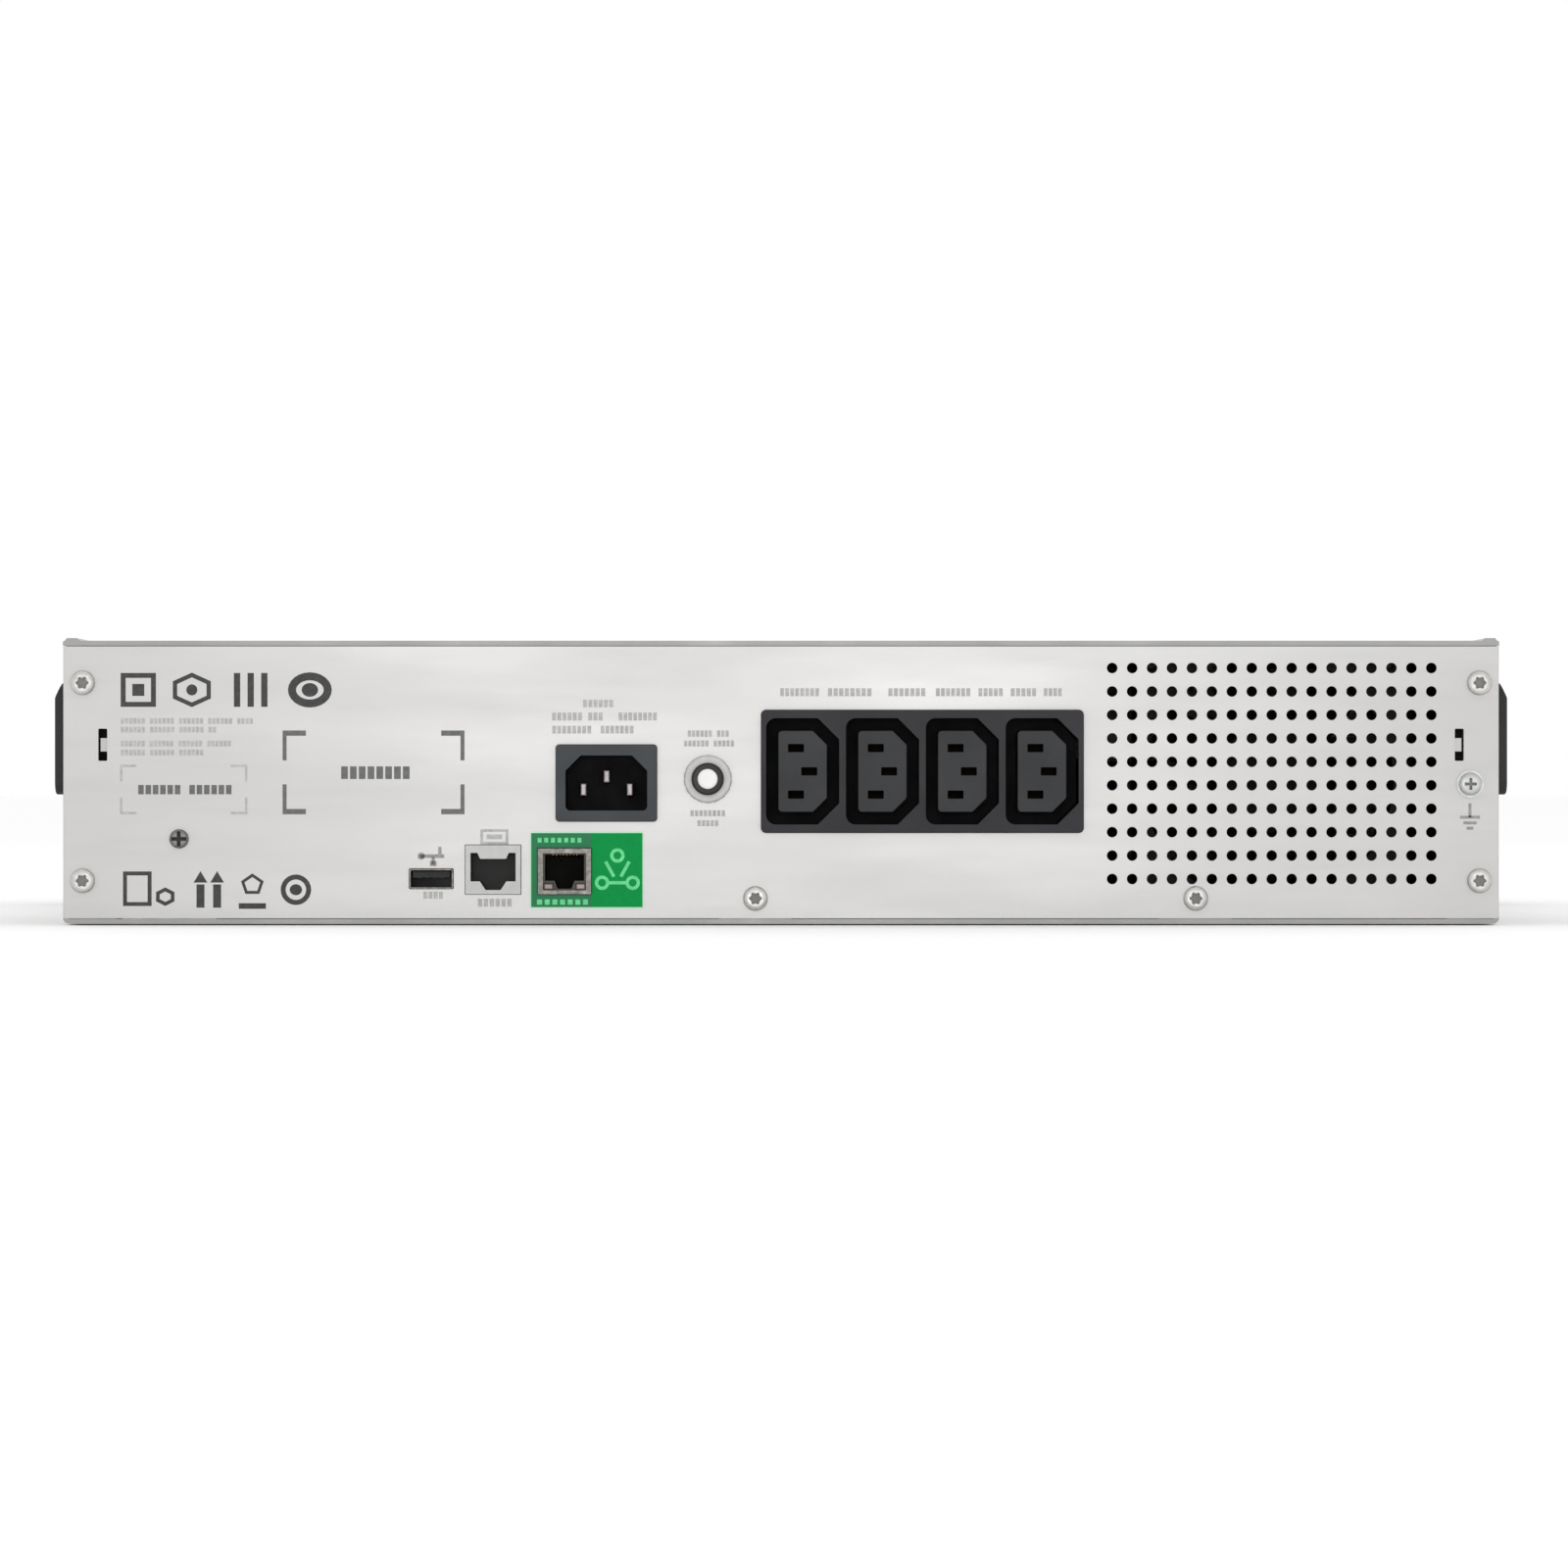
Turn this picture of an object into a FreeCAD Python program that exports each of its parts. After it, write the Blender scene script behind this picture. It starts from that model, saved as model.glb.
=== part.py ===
import FreeCAD, Part

import math
import os

# A rack-mounted uninterruptible power supply, two rack units high. Millimetres.
# +X is to the right seen from behind, +Z is up, and -Y is the rear, where the sockets are.
# The origin is the bottom centre of the whole unit.

# ---- driving dimensions ----
WIDTH = 432.0            # chassis, outside the side walls
HEIGHT = 86.0            # to the top of the cover's stiffening beads
CHASSIS_DEPTH = 382.0    # rear panel's outer face to the front wall's outer face
BEZEL_DEPTH = 24.0
REAR_PROUD = 7.5         # how far the breaker stands out of the rear panel
RACK_WIDTH = 482.6       # across the two rack ears
RACK_HOLES_X = 465.1     # between the ears' slot centres
RACK_HOLES_Z = 76.2      # outer hole rows of two rack units
SHEET = 1.5              # base, cover
PANEL = 1.2              # rear panel, brackets, battery tray
BEAD = 0.8               # height of the cover's edge beads

TOTAL_DEPTH = REAR_PROUD + CHASSIS_DEPTH + BEZEL_DEPTH
REAR = REAR_PROUD - TOTAL_DEPTH / 2
FRONT = REAR + CHASSIS_DEPTH
BEZEL_FRONT = FRONT + BEZEL_DEPTH
HALF = WIDTH / 2
INNER = HALF - SHEET
COVER_TOP = HEIGHT - BEAD
COVER_UNDER = COVER_TOP - SHEET
GAP = 0.2                # daylight between neighbouring sheets
WALL_TOP = COVER_UNDER - GAP
MID_Z = HEIGHT / 2
FLANGE_Y = REAR + PANEL  # outer face of the flanges that the rear panel lies on

# fasteners: shank radius, clearance hole and tapped hole
M4 = 1.9
M4_CLEAR = 2.2
M4_TAP = 1.92
M3 = 1.4
M3_TAP = 1.42
M3_CLEAR = 1.7

# rear panel
PANEL_BOTTOM = SHEET + GAP
PANEL_TOP = WALL_TOP
PANEL_HALF = HALF - 0.3
CORNER_SCREW_X = 210.0
CORNER_SCREW_Z = (13.0, 72.5)
BOTTOM_SCREWS_X = (-7.7, 124.7)
BOTTOM_SCREW_Z = 7.7
BRACKET_SCREW = (-181.0, 25.6)
GROUND_SCREW = (207.2, 42.1)
TIE_X = 204.0            # cable-tie anchors
TIE_Z = 53.9
TIE_WIDTH = 2.7
TIE_HEIGHT = 9.7
TIE_BRIDGE = 4.0
VENT_COLUMNS = 17
VENT_ROWS = 10
VENT_PITCH_X = 6.0
VENT_PITCH_Z = 7.05
VENT_RADIUS = 1.6
VENT_CENTRE = (147.6, 45.25)

# mains inlet, three-pin, male
INLET = (-52.5, 42.4)
INLET_FLANGE = (30.6, 23.3, 2.0)
INLET_BODY = (28.0, 20.6, 24.0)
INLET_CAVITY = (24.6, 16.6, 17.0)
PIN = (2.0, 4.0)
PIN_SPREAD = 7.0
PIN_OFFSET = 2.0         # earth pin above and line pins below this line

# four-gang outlet, three-slot, female
OUTLET = (42.5, 45.9)
OUTLET_PITCH = 24.0
OUTLET_COUNT = 4
OUTLET_FLANGE = (97.1, 37.1, 1.8)
OUTLET_BODY = (94.0, 34.4, 30.0)
SOCKET = (32.0, 22.0, 17.0)
CORE = (24.4, 14.6)

# circuit breaker
BREAKER = (-22.0, 43.6)
BUSH_RADIUS = 4.7
BUTTON_RADIUS = 3.0
NUT_RADIUS = 7.2

# data ports
PORT_FLOOR = 9.0         # top face of the communications board
BOARD = 1.6
USB = (-105.2, 13.6)
USB_SHELL = (13.1, 5.9)
SERIAL_X = -86.6
NETWORK_X = -65.1
JACK_DEPTH = 16.0
# a jack's body, its opening, the latch's notch at its top and bottom, and the opening's floor
SERIAL = ((16.6, 14.7), (13.6, 8.6), (8.0, 4.6, 2.6), 12.8)
NETWORK = ((16.0, 13.7), (11.8, 7.9), (6.0, 4.2, 2.4), 13.0)
SERIAL_KEY = (9.4, 1.8)
LABEL = (-58.4, 16.2, 34.2, 23.0, 0.3)

# side grips
GRIP_LENGTH = 110.0
GRIP_Z = (38.9, 72.5)
GRIP_PROUD = 2.9
GRIP_SETBACK = 4.0
POCKET = (88.0, 21.0, 14.0)
POCKET_Z = (GRIP_Z[0] + GRIP_Z[1]) / 2 - 0.6

# rack ears
EAR = 2.0
EAR_LENGTH = 62.0
EAR_Z = (0.5, 85.5)
EAR_SLOT = (12.0, 6.5)
EAR_SCREWS = ((14.0, 20.0), (46.0, 20.0), (14.0, 66.0), (46.0, 66.0))

# cover screws, distance back from the front wall
COVER_SCREWS_Y = (88.0, 176.0, 240.0)
COVER_SCREW_Z = 78.0
COVER_FLANGE = 12.0

# cooling fan
FAN = 80.0
FAN_DEPTH = 25.4
FAN_CENTRE = (147.6, 43.3)
FAN_Y = REAR + 16.0
FAN_BORE = 38.0
FAN_HOLES = 71.5
ROTOR_RADIUS = 36.5
BLADES = 7

# battery bay, tray and batteries
BAY_X = (-204.0, -40.0)
BAY_TOP = 78.0
BAY_BACK = -46.0
TRAY_X = (-203.0, -41.0)
TRAY_BACK = -28.0
TRAY_WALL = 40.0
TRAY_FLOOR = 3.0
TRAY_FRONT_Z = (3.3, 80.0)
BATTERY = (151.0, 98.0, 65.0)
BATTERY_GAP = 3.0
THUMBSCREW_X = (-208.0, -34.0)
THUMBSCREW_Z = 47.0
PULL_X = (-152.0, -92.0)
PLUG = (36.0, 18.0)
PLUG_Z = 34.0

# display module on the front wall
DISPLAY_X = (50.0, 170.0)
DISPLAY_Z = (12.0, 74.0)
DISPLAY_FACE = BEZEL_FRONT - 1.5
DISPLAY_WALL = 2.0
SCREEN = (84.0, 136.0, 28.0, 58.0)
POWER = (153.0, 43.0, 8.0)
MENU_X = (73.5, 60.5)
MENU_Z = (50.0, 36.0)
MENU_SIZE = 9.0
BUTTON_PROUD = 1.2
BUTTON_GAP = 0.3

# bezel
BEZEL_Z = (0.5, 85.5)
BEZEL_WALL = 2.5
BEZEL_HALF = HALF
LOUVRE_ROWS = 11
LOUVRE_PITCH = 6.0
LOUVRE_HEIGHT = 2.8
LOUVRE_LENGTH = 52.0
LOUVRE_COLUMNS = (-172.0, -114.0, -56.0, 2.0)
HOOKS = ((-120.0, 80.5), (20.0, 80.5), (190.0, 80.5), (20.0, 6.0), (190.0, 6.0))

# inner parts
CORE_X = (-196.0, -116.0)
CORE_TOP = 75.0
CORE_Y = (REAR + 38.0, REAR + 98.0)
MAIN_BOARD = (-28.0, 196.0, -145.0, 160.0)
MAIN_BOARD_Z = 8.0


# ---- helpers ----
def vector(axis, a, b, along):
    """A point at (a, b) in the plane across an axis, and at a place along it."""
    if axis == "x":
        return FreeCAD.Vector(along, a, b)
    if axis == "y":
        return FreeCAD.Vector(a, along, b)
    return FreeCAD.Vector(a, b, along)


def prism(axis, corners, start, end):
    """A solid of constant section along an axis. Each corner is (a, b, radius)."""
    count = len(corners)
    edges = []
    first = None
    last = None
    for i in range(count):
        here = FreeCAD.Vector(corners[i][0], corners[i][1], 0)
        back = FreeCAD.Vector(corners[i - 1][0], corners[i - 1][1], 0) - here
        ahead = FreeCAD.Vector(corners[(i + 1) % count][0], corners[(i + 1) % count][1], 0) - here
        back.normalize()
        ahead.normalize()
        radius = corners[i][2]
        if radius > 0:
            half = back.getAngle(ahead) / 2
            bisector = back + ahead
            bisector.normalize()
            enter = here + back * (radius / math.tan(half))
            leave = here + ahead * (radius / math.tan(half))
            middle = here + bisector * (radius / math.sin(half) - radius)
            points = [vector(axis, p.x, p.y, start) for p in (enter, middle, leave)]
            if last is not None:
                edges.append(Part.makeLine(last, points[0]))
            edges.append(Part.Arc(*points).toShape())
            first = first or points[0]
            last = points[2]
        else:
            place = vector(axis, here.x, here.y, start)
            if last is not None:
                edges.append(Part.makeLine(last, place))
            first = first or place
            last = place
    if last.distanceToPoint(first) > 1e-6:
        edges.append(Part.makeLine(last, first))
    face = Part.Face(Part.Wire(edges))
    return face.extrude(vector(axis, 0, 0, end - start))


def rectangle(a0, a1, b0, b1, radius=0.0):
    """The corners of a rectangle."""
    return [(a0, b0, radius), (a1, b0, radius), (a1, b1, radius), (a0, b1, radius)]


def centred(centre, size, radius=0.0):
    """The corners of a rectangle about a centre."""
    return rectangle(
        centre[0] - size[0] / 2, centre[0] + size[0] / 2,
        centre[1] - size[1] / 2, centre[1] + size[1] / 2, radius,
    )


def block(x0, x1, y0, y1, z0, z1):
    """A plain box between two corners."""
    low = FreeCAD.Vector(min(x0, x1), min(y0, y1), min(z0, z1))
    return Part.makeBox(abs(x1 - x0), abs(y1 - y0), abs(z1 - z0), low)


def rod(axis, a, b, radius, start, end):
    """A cylinder along an axis."""
    way = vector(axis, 0, 0, 1 if end > start else -1)
    return Part.makeCylinder(radius, abs(end - start), vector(axis, a, b, start), way)


def joined(shapes):
    """One solid from several that touch or overlap."""
    first = shapes[0]
    return first.multiFuse(shapes[1:]).removeSplitter() if len(shapes) > 1 else first


def group(shapes):
    """Separate solids in one node."""
    return Part.makeCompound(shapes)


def mirrored(shape, side):
    """The shape itself on the +X side, or its mirror image on the -X side."""
    if side > 0:
        return shape
    return shape.mirror(FreeCAD.Vector(0, 0, 0), FreeCAD.Vector(1, 0, 0))


def soften(shape, radius, chosen):
    """Rounds the edges that the test picks by their middle point and direction."""
    edges = []
    for edge in shape.Edges:
        middle = edge.valueAt((edge.FirstParameter + edge.LastParameter) / 2)
        if chosen(middle, edge):
            edges.append(edge)
    return shape.makeFillet(radius, edges)


def screw(place, facing, shank, length, head, height, recess=0.0, sunk=False, lobes=0):
    """A screw whose head faces a direction, with a cross or lobed recess. Its head's underside is at the place."""
    if sunk:
        top = Part.makeCone(shank, head, height, FreeCAD.Vector(0, 0, -height))
        solid = top.fuse(Part.makeCylinder(shank, length - height, FreeCAD.Vector(0, 0, -length)))
        face = 0.0
    else:
        top = Part.makeCylinder(head, height)
        top = soften(top, height * 0.6, lambda m, e: m.z > height - 0.01 and e.Closed)
        solid = top.fuse(Part.makeCylinder(shank, length, FreeCAD.Vector(0, 0, -length)))
        face = height
    if lobes:
        socket = Part.makeCylinder(recess * 0.4, height, FreeCAD.Vector(0, 0, height * 0.3))
        for i in range(lobes):
            angle = 2 * math.pi * i / lobes
            spot = FreeCAD.Vector(recess * 0.39 * math.cos(angle), recess * 0.39 * math.sin(angle), height * 0.3)
            socket = socket.fuse(Part.makeCylinder(recess * 0.12, height, spot))
        solid = solid.cut(socket)
    elif recess > 0:
        arm = recess / 4
        depth = height * 0.6
        slot_a = Part.makeBox(recess, arm, depth, FreeCAD.Vector(-recess / 2, -arm / 2, face - depth))
        slot_b = Part.makeBox(arm, recess, depth, FreeCAD.Vector(-arm / 2, -recess / 2, face - depth))
        solid = solid.cut(slot_a.fuse(slot_b))
    turn = FreeCAD.Rotation(FreeCAD.Vector(0, 0, 1), FreeCAD.Vector(*facing))
    solid.Placement = FreeCAD.Placement(FreeCAD.Vector(*place), turn)
    return solid


def three_pin_outline(centre, width, height, chamfer, radius, quarter_turn=False):
    """A mains connector's outline: its two upper corners are cut off, or its two right ones."""
    corners = [
        (-width / 2, -height / 2, radius), (width / 2, -height / 2, radius),
        (width / 2, height / 2 - chamfer, 0.6), (width / 2 - chamfer, height / 2, 0.6),
        (chamfer - width / 2, height / 2, 0.6), (-width / 2, height / 2 - chamfer, 0.6),
    ]
    if quarter_turn:
        corners = [(b, -a, r) for a, b, r in corners]
    return [(centre[0] + a, centre[1] + b, r) for a, b, r in corners]


# ---- chassis ----
def ear_screw_places():
    """Y and Z of the screws that hold a rack ear to its side wall."""
    return [(FRONT - back, z) for back, z in EAR_SCREWS]


def chassis_base():
    """Bottom, side walls, front wall and rear flanges, bent from one sheet."""
    outer = prism("y", [(-HALF, 0, 2.0), (HALF, 0, 2.0), (HALF, WALL_TOP, 0), (-HALF, WALL_TOP, 0)], REAR, FRONT)
    inner = prism(
        "y", [(-INNER, SHEET, 0.5), (INNER, SHEET, 0.5), (INNER, HEIGHT, 0), (-INNER, HEIGHT, 0)],
        REAR - 1, FRONT + 1,
    )
    body = outer.cut(inner)
    walls = [block(-INNER, INNER, FRONT - SHEET, FRONT, SHEET, WALL_TOP)]
    for side in (-1, 1):
        walls.append(block(side * INNER, side * (HALF - 16), FLANGE_Y, FLANGE_Y + SHEET, SHEET, WALL_TOP))
    for x in BOTTOM_SCREWS_X:
        walls.append(block(x - 11, x + 11, FLANGE_Y, FLANGE_Y + SHEET, SHEET, 11.5))
    body = joined([body] + walls)

    holes = [block(BAY_X[0], BAY_X[1], FRONT - 3, FRONT + 1, SHEET, BAY_TOP)]
    # the rear panel stands between the side walls' rear edges
    for side in (-1, 1):
        holes.append(block(side * (INNER - 1), side * (HALF + 1), REAR - 1, FLANGE_Y, PANEL_BOTTOM, HEIGHT))
        for z in CORNER_SCREW_Z:
            holes.append(rod("y", side * CORNER_SCREW_X, z, M4_TAP, REAR, REAR + 8))
        for end in (-1, 1):
            window = (TIE_HEIGHT - TIE_BRIDGE) / 2
            z = TIE_Z + end * (TIE_BRIDGE + window) / 2
            holes.append(prism("y", centred((side * TIE_X, z), (TIE_WIDTH, window)), REAR, REAR + 8))
        slit = side * (TIE_X + TIE_WIDTH / 2)
        holes.append(block(slit, slit - side * 0.6, REAR, REAR + 8, TIE_Z - TIE_HEIGHT / 2, TIE_Z + TIE_HEIGHT / 2))
        for y, z in ear_screw_places():
            holes.append(rod("x", y, z, M4_TAP, side * (INNER - 1), side * (HALF + 1)))
        for back in COVER_SCREWS_Y:
            cone = Part.makeCone(
                M4_CLEAR + SHEET, M4_CLEAR, SHEET,
                FreeCAD.Vector(side * HALF, FRONT - back, COVER_SCREW_Z), FreeCAD.Vector(-side, 0, 0),
            )
            holes.append(cone)
        grip_y = REAR + GRIP_SETBACK + GRIP_LENGTH / 2
        holes.append(prism(
            "x", centred((grip_y, POCKET_Z), (POCKET[0] + 4.4, POCKET[1] + 4.4), 3.0),
            side * (INNER - 1), side * (HALF + 1),
        ))
    holes.append(rod("y", GROUND_SCREW[0], GROUND_SCREW[1], M4_TAP, REAR, REAR + 8))
    for x in BOTTOM_SCREWS_X:
        holes.append(rod("y", x, BOTTOM_SCREW_Z, M4_TAP, REAR, REAR + 8))
    for x in THUMBSCREW_X:
        holes.append(rod("y", x, THUMBSCREW_Z, M4 + 0.08, FRONT - 3, FRONT + 1))
    for x, z in HOOKS:
        holes.append(block(x - 4.4, x + 4.4, FRONT - 3, FRONT + 1, z - 1.6, z + 1.6))
    for row in range(9):
        z = 17.0 + row * 6.5
        holes.append(block(-20, 40, FRONT - 3, FRONT + 1, z, z + 3.0))
    holes.append(prism("y", centred((110.0, MID_Z), (40.0, 16.0), 2.0), FRONT - 3, FRONT + 1))
    for x, y in board_posts() + comms_posts():
        holes.append(rod("z", x, y, M3_TAP, -1, SHEET + 1))
    for x, y in clamp_bolts():
        holes.append(rod("z", x, y, M4_TAP, -1, SHEET + 1))
    return body.cut(group(holes))


def top_cover():
    """Lid with a down-turned flange inside each side wall and a pressed bead along each edge."""
    pieces = [block(-HALF, HALF, REAR, FRONT, COVER_UNDER, COVER_TOP)]
    for side in (-1, 1):
        inside = side * (INNER - 0.1)
        pieces.append(block(inside, inside - side * PANEL, REAR + 16, FRONT - 6, COVER_UNDER - COVER_FLANGE, COVER_UNDER))
        edge = [(side * (HALF - 0.6), COVER_TOP, 0), (side * (HALF - 5.2), COVER_TOP, 0),
                (side * (HALF - 4.2), HEIGHT, 0.3), (side * (HALF - 1.2), HEIGHT, 0.3)]
        pieces.append(prism("y", edge, REAR, FRONT))
    cover = joined(pieces)
    cover = soften(cover, 0.5, lambda m, e: abs(abs(m.x) - HALF) < 0.01 and abs(m.z - COVER_TOP) < 0.01)
    holes = []
    for side in (-1, 1):
        for back in COVER_SCREWS_Y:
            holes.append(rod("x", FRONT - back, COVER_SCREW_Z, M3_TAP, side * (INNER - 4), side * HALF))
    return cover.cut(group(holes))


def cover_screws():
    """Countersunk screws through the side walls into the cover's flanges."""
    made = []
    for side in (-1, 1):
        for back in COVER_SCREWS_Y:
            place = (side * (HALF - 0.1), FRONT - back, COVER_SCREW_Z)
            made.append(screw(place, (side, 0, 0), M3, 5.0, M3 + 1.4, 1.35, 2.4, sunk=True))
    return group(made)


# ---- rear panel ----
def vent_places():
    """X and Z of each cooling hole."""
    places = []
    for column in range(VENT_COLUMNS):
        for row in range(VENT_ROWS):
            x = VENT_CENTRE[0] + (column - (VENT_COLUMNS - 1) / 2) * VENT_PITCH_X
            z = VENT_CENTRE[1] + (row - (VENT_ROWS - 1) / 2) * VENT_PITCH_Z
            places.append((x, z))
    return places


def panel_screw_places():
    """X and Z of the six screws that hold the rear panel."""
    corners = [(side * CORNER_SCREW_X, z) for side in (-1, 1) for z in CORNER_SCREW_Z]
    return corners + [(x, BOTTOM_SCREW_Z) for x in BOTTOM_SCREWS_X]


def rear_panel():
    """Flat steel panel with the cut-outs for every connector, and the cooling holes."""
    plate = prism("y", rectangle(-PANEL_HALF, PANEL_HALF, PANEL_BOTTOM, PANEL_TOP, 0.6), REAR, FLANGE_Y)
    span = (REAR - 1, REAR + 3)
    cuts = [rod("y", x, z, VENT_RADIUS, *span) for x, z in vent_places()]
    cuts += [rod("y", x, z, M4_CLEAR, *span) for x, z in panel_screw_places()]
    cuts.append(rod("y", BRACKET_SCREW[0], BRACKET_SCREW[1], M3_CLEAR, *span))
    cuts.append(rod("y", GROUND_SCREW[0], GROUND_SCREW[1], M4_CLEAR, *span))
    cuts.append(rod("y", BREAKER[0], BREAKER[1], BUSH_RADIUS + 0.1, *span))
    cuts.append(prism("y", centred(INLET, (INLET_BODY[0] + 0.4, INLET_BODY[1] + 0.4), 1.0), *span))
    cuts.append(prism("y", centred(OUTLET, (OUTLET_BODY[0] + 0.4, OUTLET_BODY[1] + 0.4), 1.0), *span))
    cuts.append(prism("y", centred(USB, (USB_SHELL[0] + 0.4, USB_SHELL[1] + 0.4), 0.5), *span))
    for x, jack in ((SERIAL_X, SERIAL), (NETWORK_X, NETWORK)):
        width, height = jack[0]
        cuts.append(block(x - width / 2 - 0.2, x + width / 2 + 0.2, *span, PORT_FLOOR - 0.2, PORT_FLOOR + height + 0.2))
    for side in (-1, 1):
        cuts.append(prism("y", centred((side * TIE_X, TIE_Z), (TIE_WIDTH, TIE_HEIGHT), 0.4), *span))
    return plate.cut(group(cuts))


def rear_panel_screws():
    """Six pan-head screws of the panel, and the smaller one that holds the transformer's clamp to it."""
    made = [screw((x, REAR, z), (0, -1, 0), M4, 6.0, 3.7, 2.2, 3.9, lobes=6) for x, z in panel_screw_places()]
    made.append(screw((BRACKET_SCREW[0], REAR, BRACKET_SCREW[1]), (0, -1, 0), M3, 6.0, 2.9, 1.7, 4.6))
    return group(made)


def ground_screw():
    """Earthing screw with its captive washer."""
    x, z = GROUND_SCREW
    washer = rod("y", x, z, 4.1, REAR, REAR - 0.8)
    return joined([washer, screw((x, REAR - 0.8, z), (0, -1, 0), M4, 6.8, 3.4, 2.0, 3.6)])


# ---- mains inlet, breaker and outlets ----
def mains_inlet():
    """Moulded inlet: flange outside the panel, body behind it, and the plug's cavity."""
    flange = prism("y", centred(INLET, INLET_FLANGE, 1.2), REAR - INLET_FLANGE[2], REAR)
    flange = soften(flange, 0.6, lambda m, e: abs(m.y - REAR + INLET_FLANGE[2]) < 0.01)
    body = prism("y", centred(INLET, INLET_BODY, 1.0), REAR, REAR + INLET_BODY[2])
    cavity = three_pin_outline(INLET, INLET_CAVITY[0], INLET_CAVITY[1], 4.6, 1.4)
    solid = joined([flange, body]).cut(prism("y", cavity, REAR - 5, REAR + INLET_CAVITY[2]))
    holes = [prism("y", centred(place, PIN), REAR, REAR + 40) for place in pin_places()]
    return solid.cut(group(holes))


def pin_places():
    """X and Z of the inlet's line, neutral and earth pins."""
    x, z = INLET
    return [(x - PIN_SPREAD, z - PIN_OFFSET), (x + PIN_SPREAD, z - PIN_OFFSET), (x, z + PIN_OFFSET)]


def inlet_pins():
    """Three flat pins that run through the inlet's back and end in solder tails."""
    made = []
    for place in pin_places():
        pin = prism("y", centred(place, PIN), REAR + 1.5, REAR + 32)
        made.append(soften(pin, 0.6, lambda m, e: abs(m.y - REAR - 1.5) < 0.01))
    return group(made)


def breaker_body():
    """Thermal breaker: threaded bush through the panel, and its case behind."""
    x, z = BREAKER
    bush = rod("y", x, z, BUSH_RADIUS, FLANGE_Y, REAR - 6.3)
    case = prism("y", centred((x, z - 3), (15.0, 30.0), 1.0), FLANGE_Y, REAR + 34)
    solid = joined([bush, case])
    solid = soften(solid, 0.5, lambda m, e: abs(m.y - REAR + 6.3) < 0.01)
    bore = rod("y", x, z, BUTTON_RADIUS + 0.05, REAR - 10, REAR + 14)
    tabs = [block(x - 3.2, x + 3.2, REAR + 34, REAR + 43, z - 13 + up, z - 12.2 + up) for up in (0, 16)]
    return joined([solid.cut(bore)] + tabs)


def breaker_nut():
    """Round knurled nut that clamps the breaker's bush to the panel."""
    x, z = BREAKER
    nut = rod("y", x, z, NUT_RADIUS, REAR - 2.6, REAR)
    nut = soften(nut, 0.7, lambda m, e: abs(m.y - REAR + 2.6) < 0.01)
    flutes = []
    for i in range(18):
        angle = 2 * math.pi * i / 18
        edge = (x + (NUT_RADIUS + 0.1) * math.cos(angle), z + (NUT_RADIUS + 0.1) * math.sin(angle))
        flutes.append(rod("y", *edge, 0.4, REAR - 3, REAR - 0.6))
    return nut.cut(group(flutes)).cut(rod("y", x, z, BUSH_RADIUS + 0.05, REAR - 5, REAR + 1))


def breaker_button():
    """Reset button that pops out when the breaker trips."""
    x, z = BREAKER
    button = rod("y", x, z, BUTTON_RADIUS, REAR - REAR_PROUD, REAR + 9)
    return soften(button, 0.8, lambda m, e: abs(m.y - REAR + REAR_PROUD) < 0.01)


def socket_centres():
    """Centres of the four outlets."""
    middle = (OUTLET_COUNT - 1) / 2
    return [(OUTLET[0] + (i - middle) * OUTLET_PITCH, OUTLET[1]) for i in range(OUTLET_COUNT)]


def outlet_block():
    """Moulded frame of the four outlets, with a socket cavity for each."""
    flange = prism("y", centred(OUTLET, OUTLET_FLANGE, 1.6), REAR - OUTLET_FLANGE[2], REAR)
    flange = soften(flange, 0.6, lambda m, e: abs(m.y - REAR + OUTLET_FLANGE[2]) < 0.01)
    body = prism("y", centred(OUTLET, OUTLET_BODY, 1.0), REAR, REAR + OUTLET_BODY[2])
    solid = joined([flange, body])
    cavities = []
    for centre in socket_centres():
        outline = three_pin_outline(centre, SOCKET[0], SOCKET[1], 6.4, 3.0, quarter_turn=True)
        cavities.append(prism("y", outline, REAR - 5, REAR + SOCKET[2]))
    return solid.cut(group(cavities))


def slot_places(centre):
    """X and Z of an outlet's line, neutral and earth slots."""
    x, z = centre
    return [(x - PIN_OFFSET, z + PIN_SPREAD), (x - PIN_OFFSET, z - PIN_SPREAD), (x + PIN_OFFSET, z)]


def outlet_cores():
    """The island in each outlet, with a slot for each pin of the plug."""
    made = []
    for centre in socket_centres():
        outline = three_pin_outline(centre, CORE[0], CORE[1], 4.2, 1.2, quarter_turn=True)
        core = prism("y", outline, REAR - 0.6, REAR + SOCKET[2])
        core = soften(core, 0.3, lambda m, e: abs(m.y - REAR + 0.6) < 0.01)
        slots = [prism("y", centred(place, (4.8, 2.5), 0.3), REAR - 2, REAR + SOCKET[2] + 1)
                 for place in slot_places(centre)]
        made.append(core.cut(group(slots)))
    return group(made)


def outlet_contacts():
    """A spring-bronze fork in each slot."""
    made = []
    for centre in socket_centres():
        for x, z in slot_places(centre):
            leaves = [block(x - 2.1, x + 2.1, REAR + 10, REAR + SOCKET[2], z + side * 1.15, z + side * 0.75)
                      for side in (-1, 1)]
            back = block(x - 2.1, x + 2.1, REAR + SOCKET[2] - 0.4, REAR + SOCKET[2], z - 1.15, z + 1.15)
            made.append(joined(leaves + [back]))
    return group(made)


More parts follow.
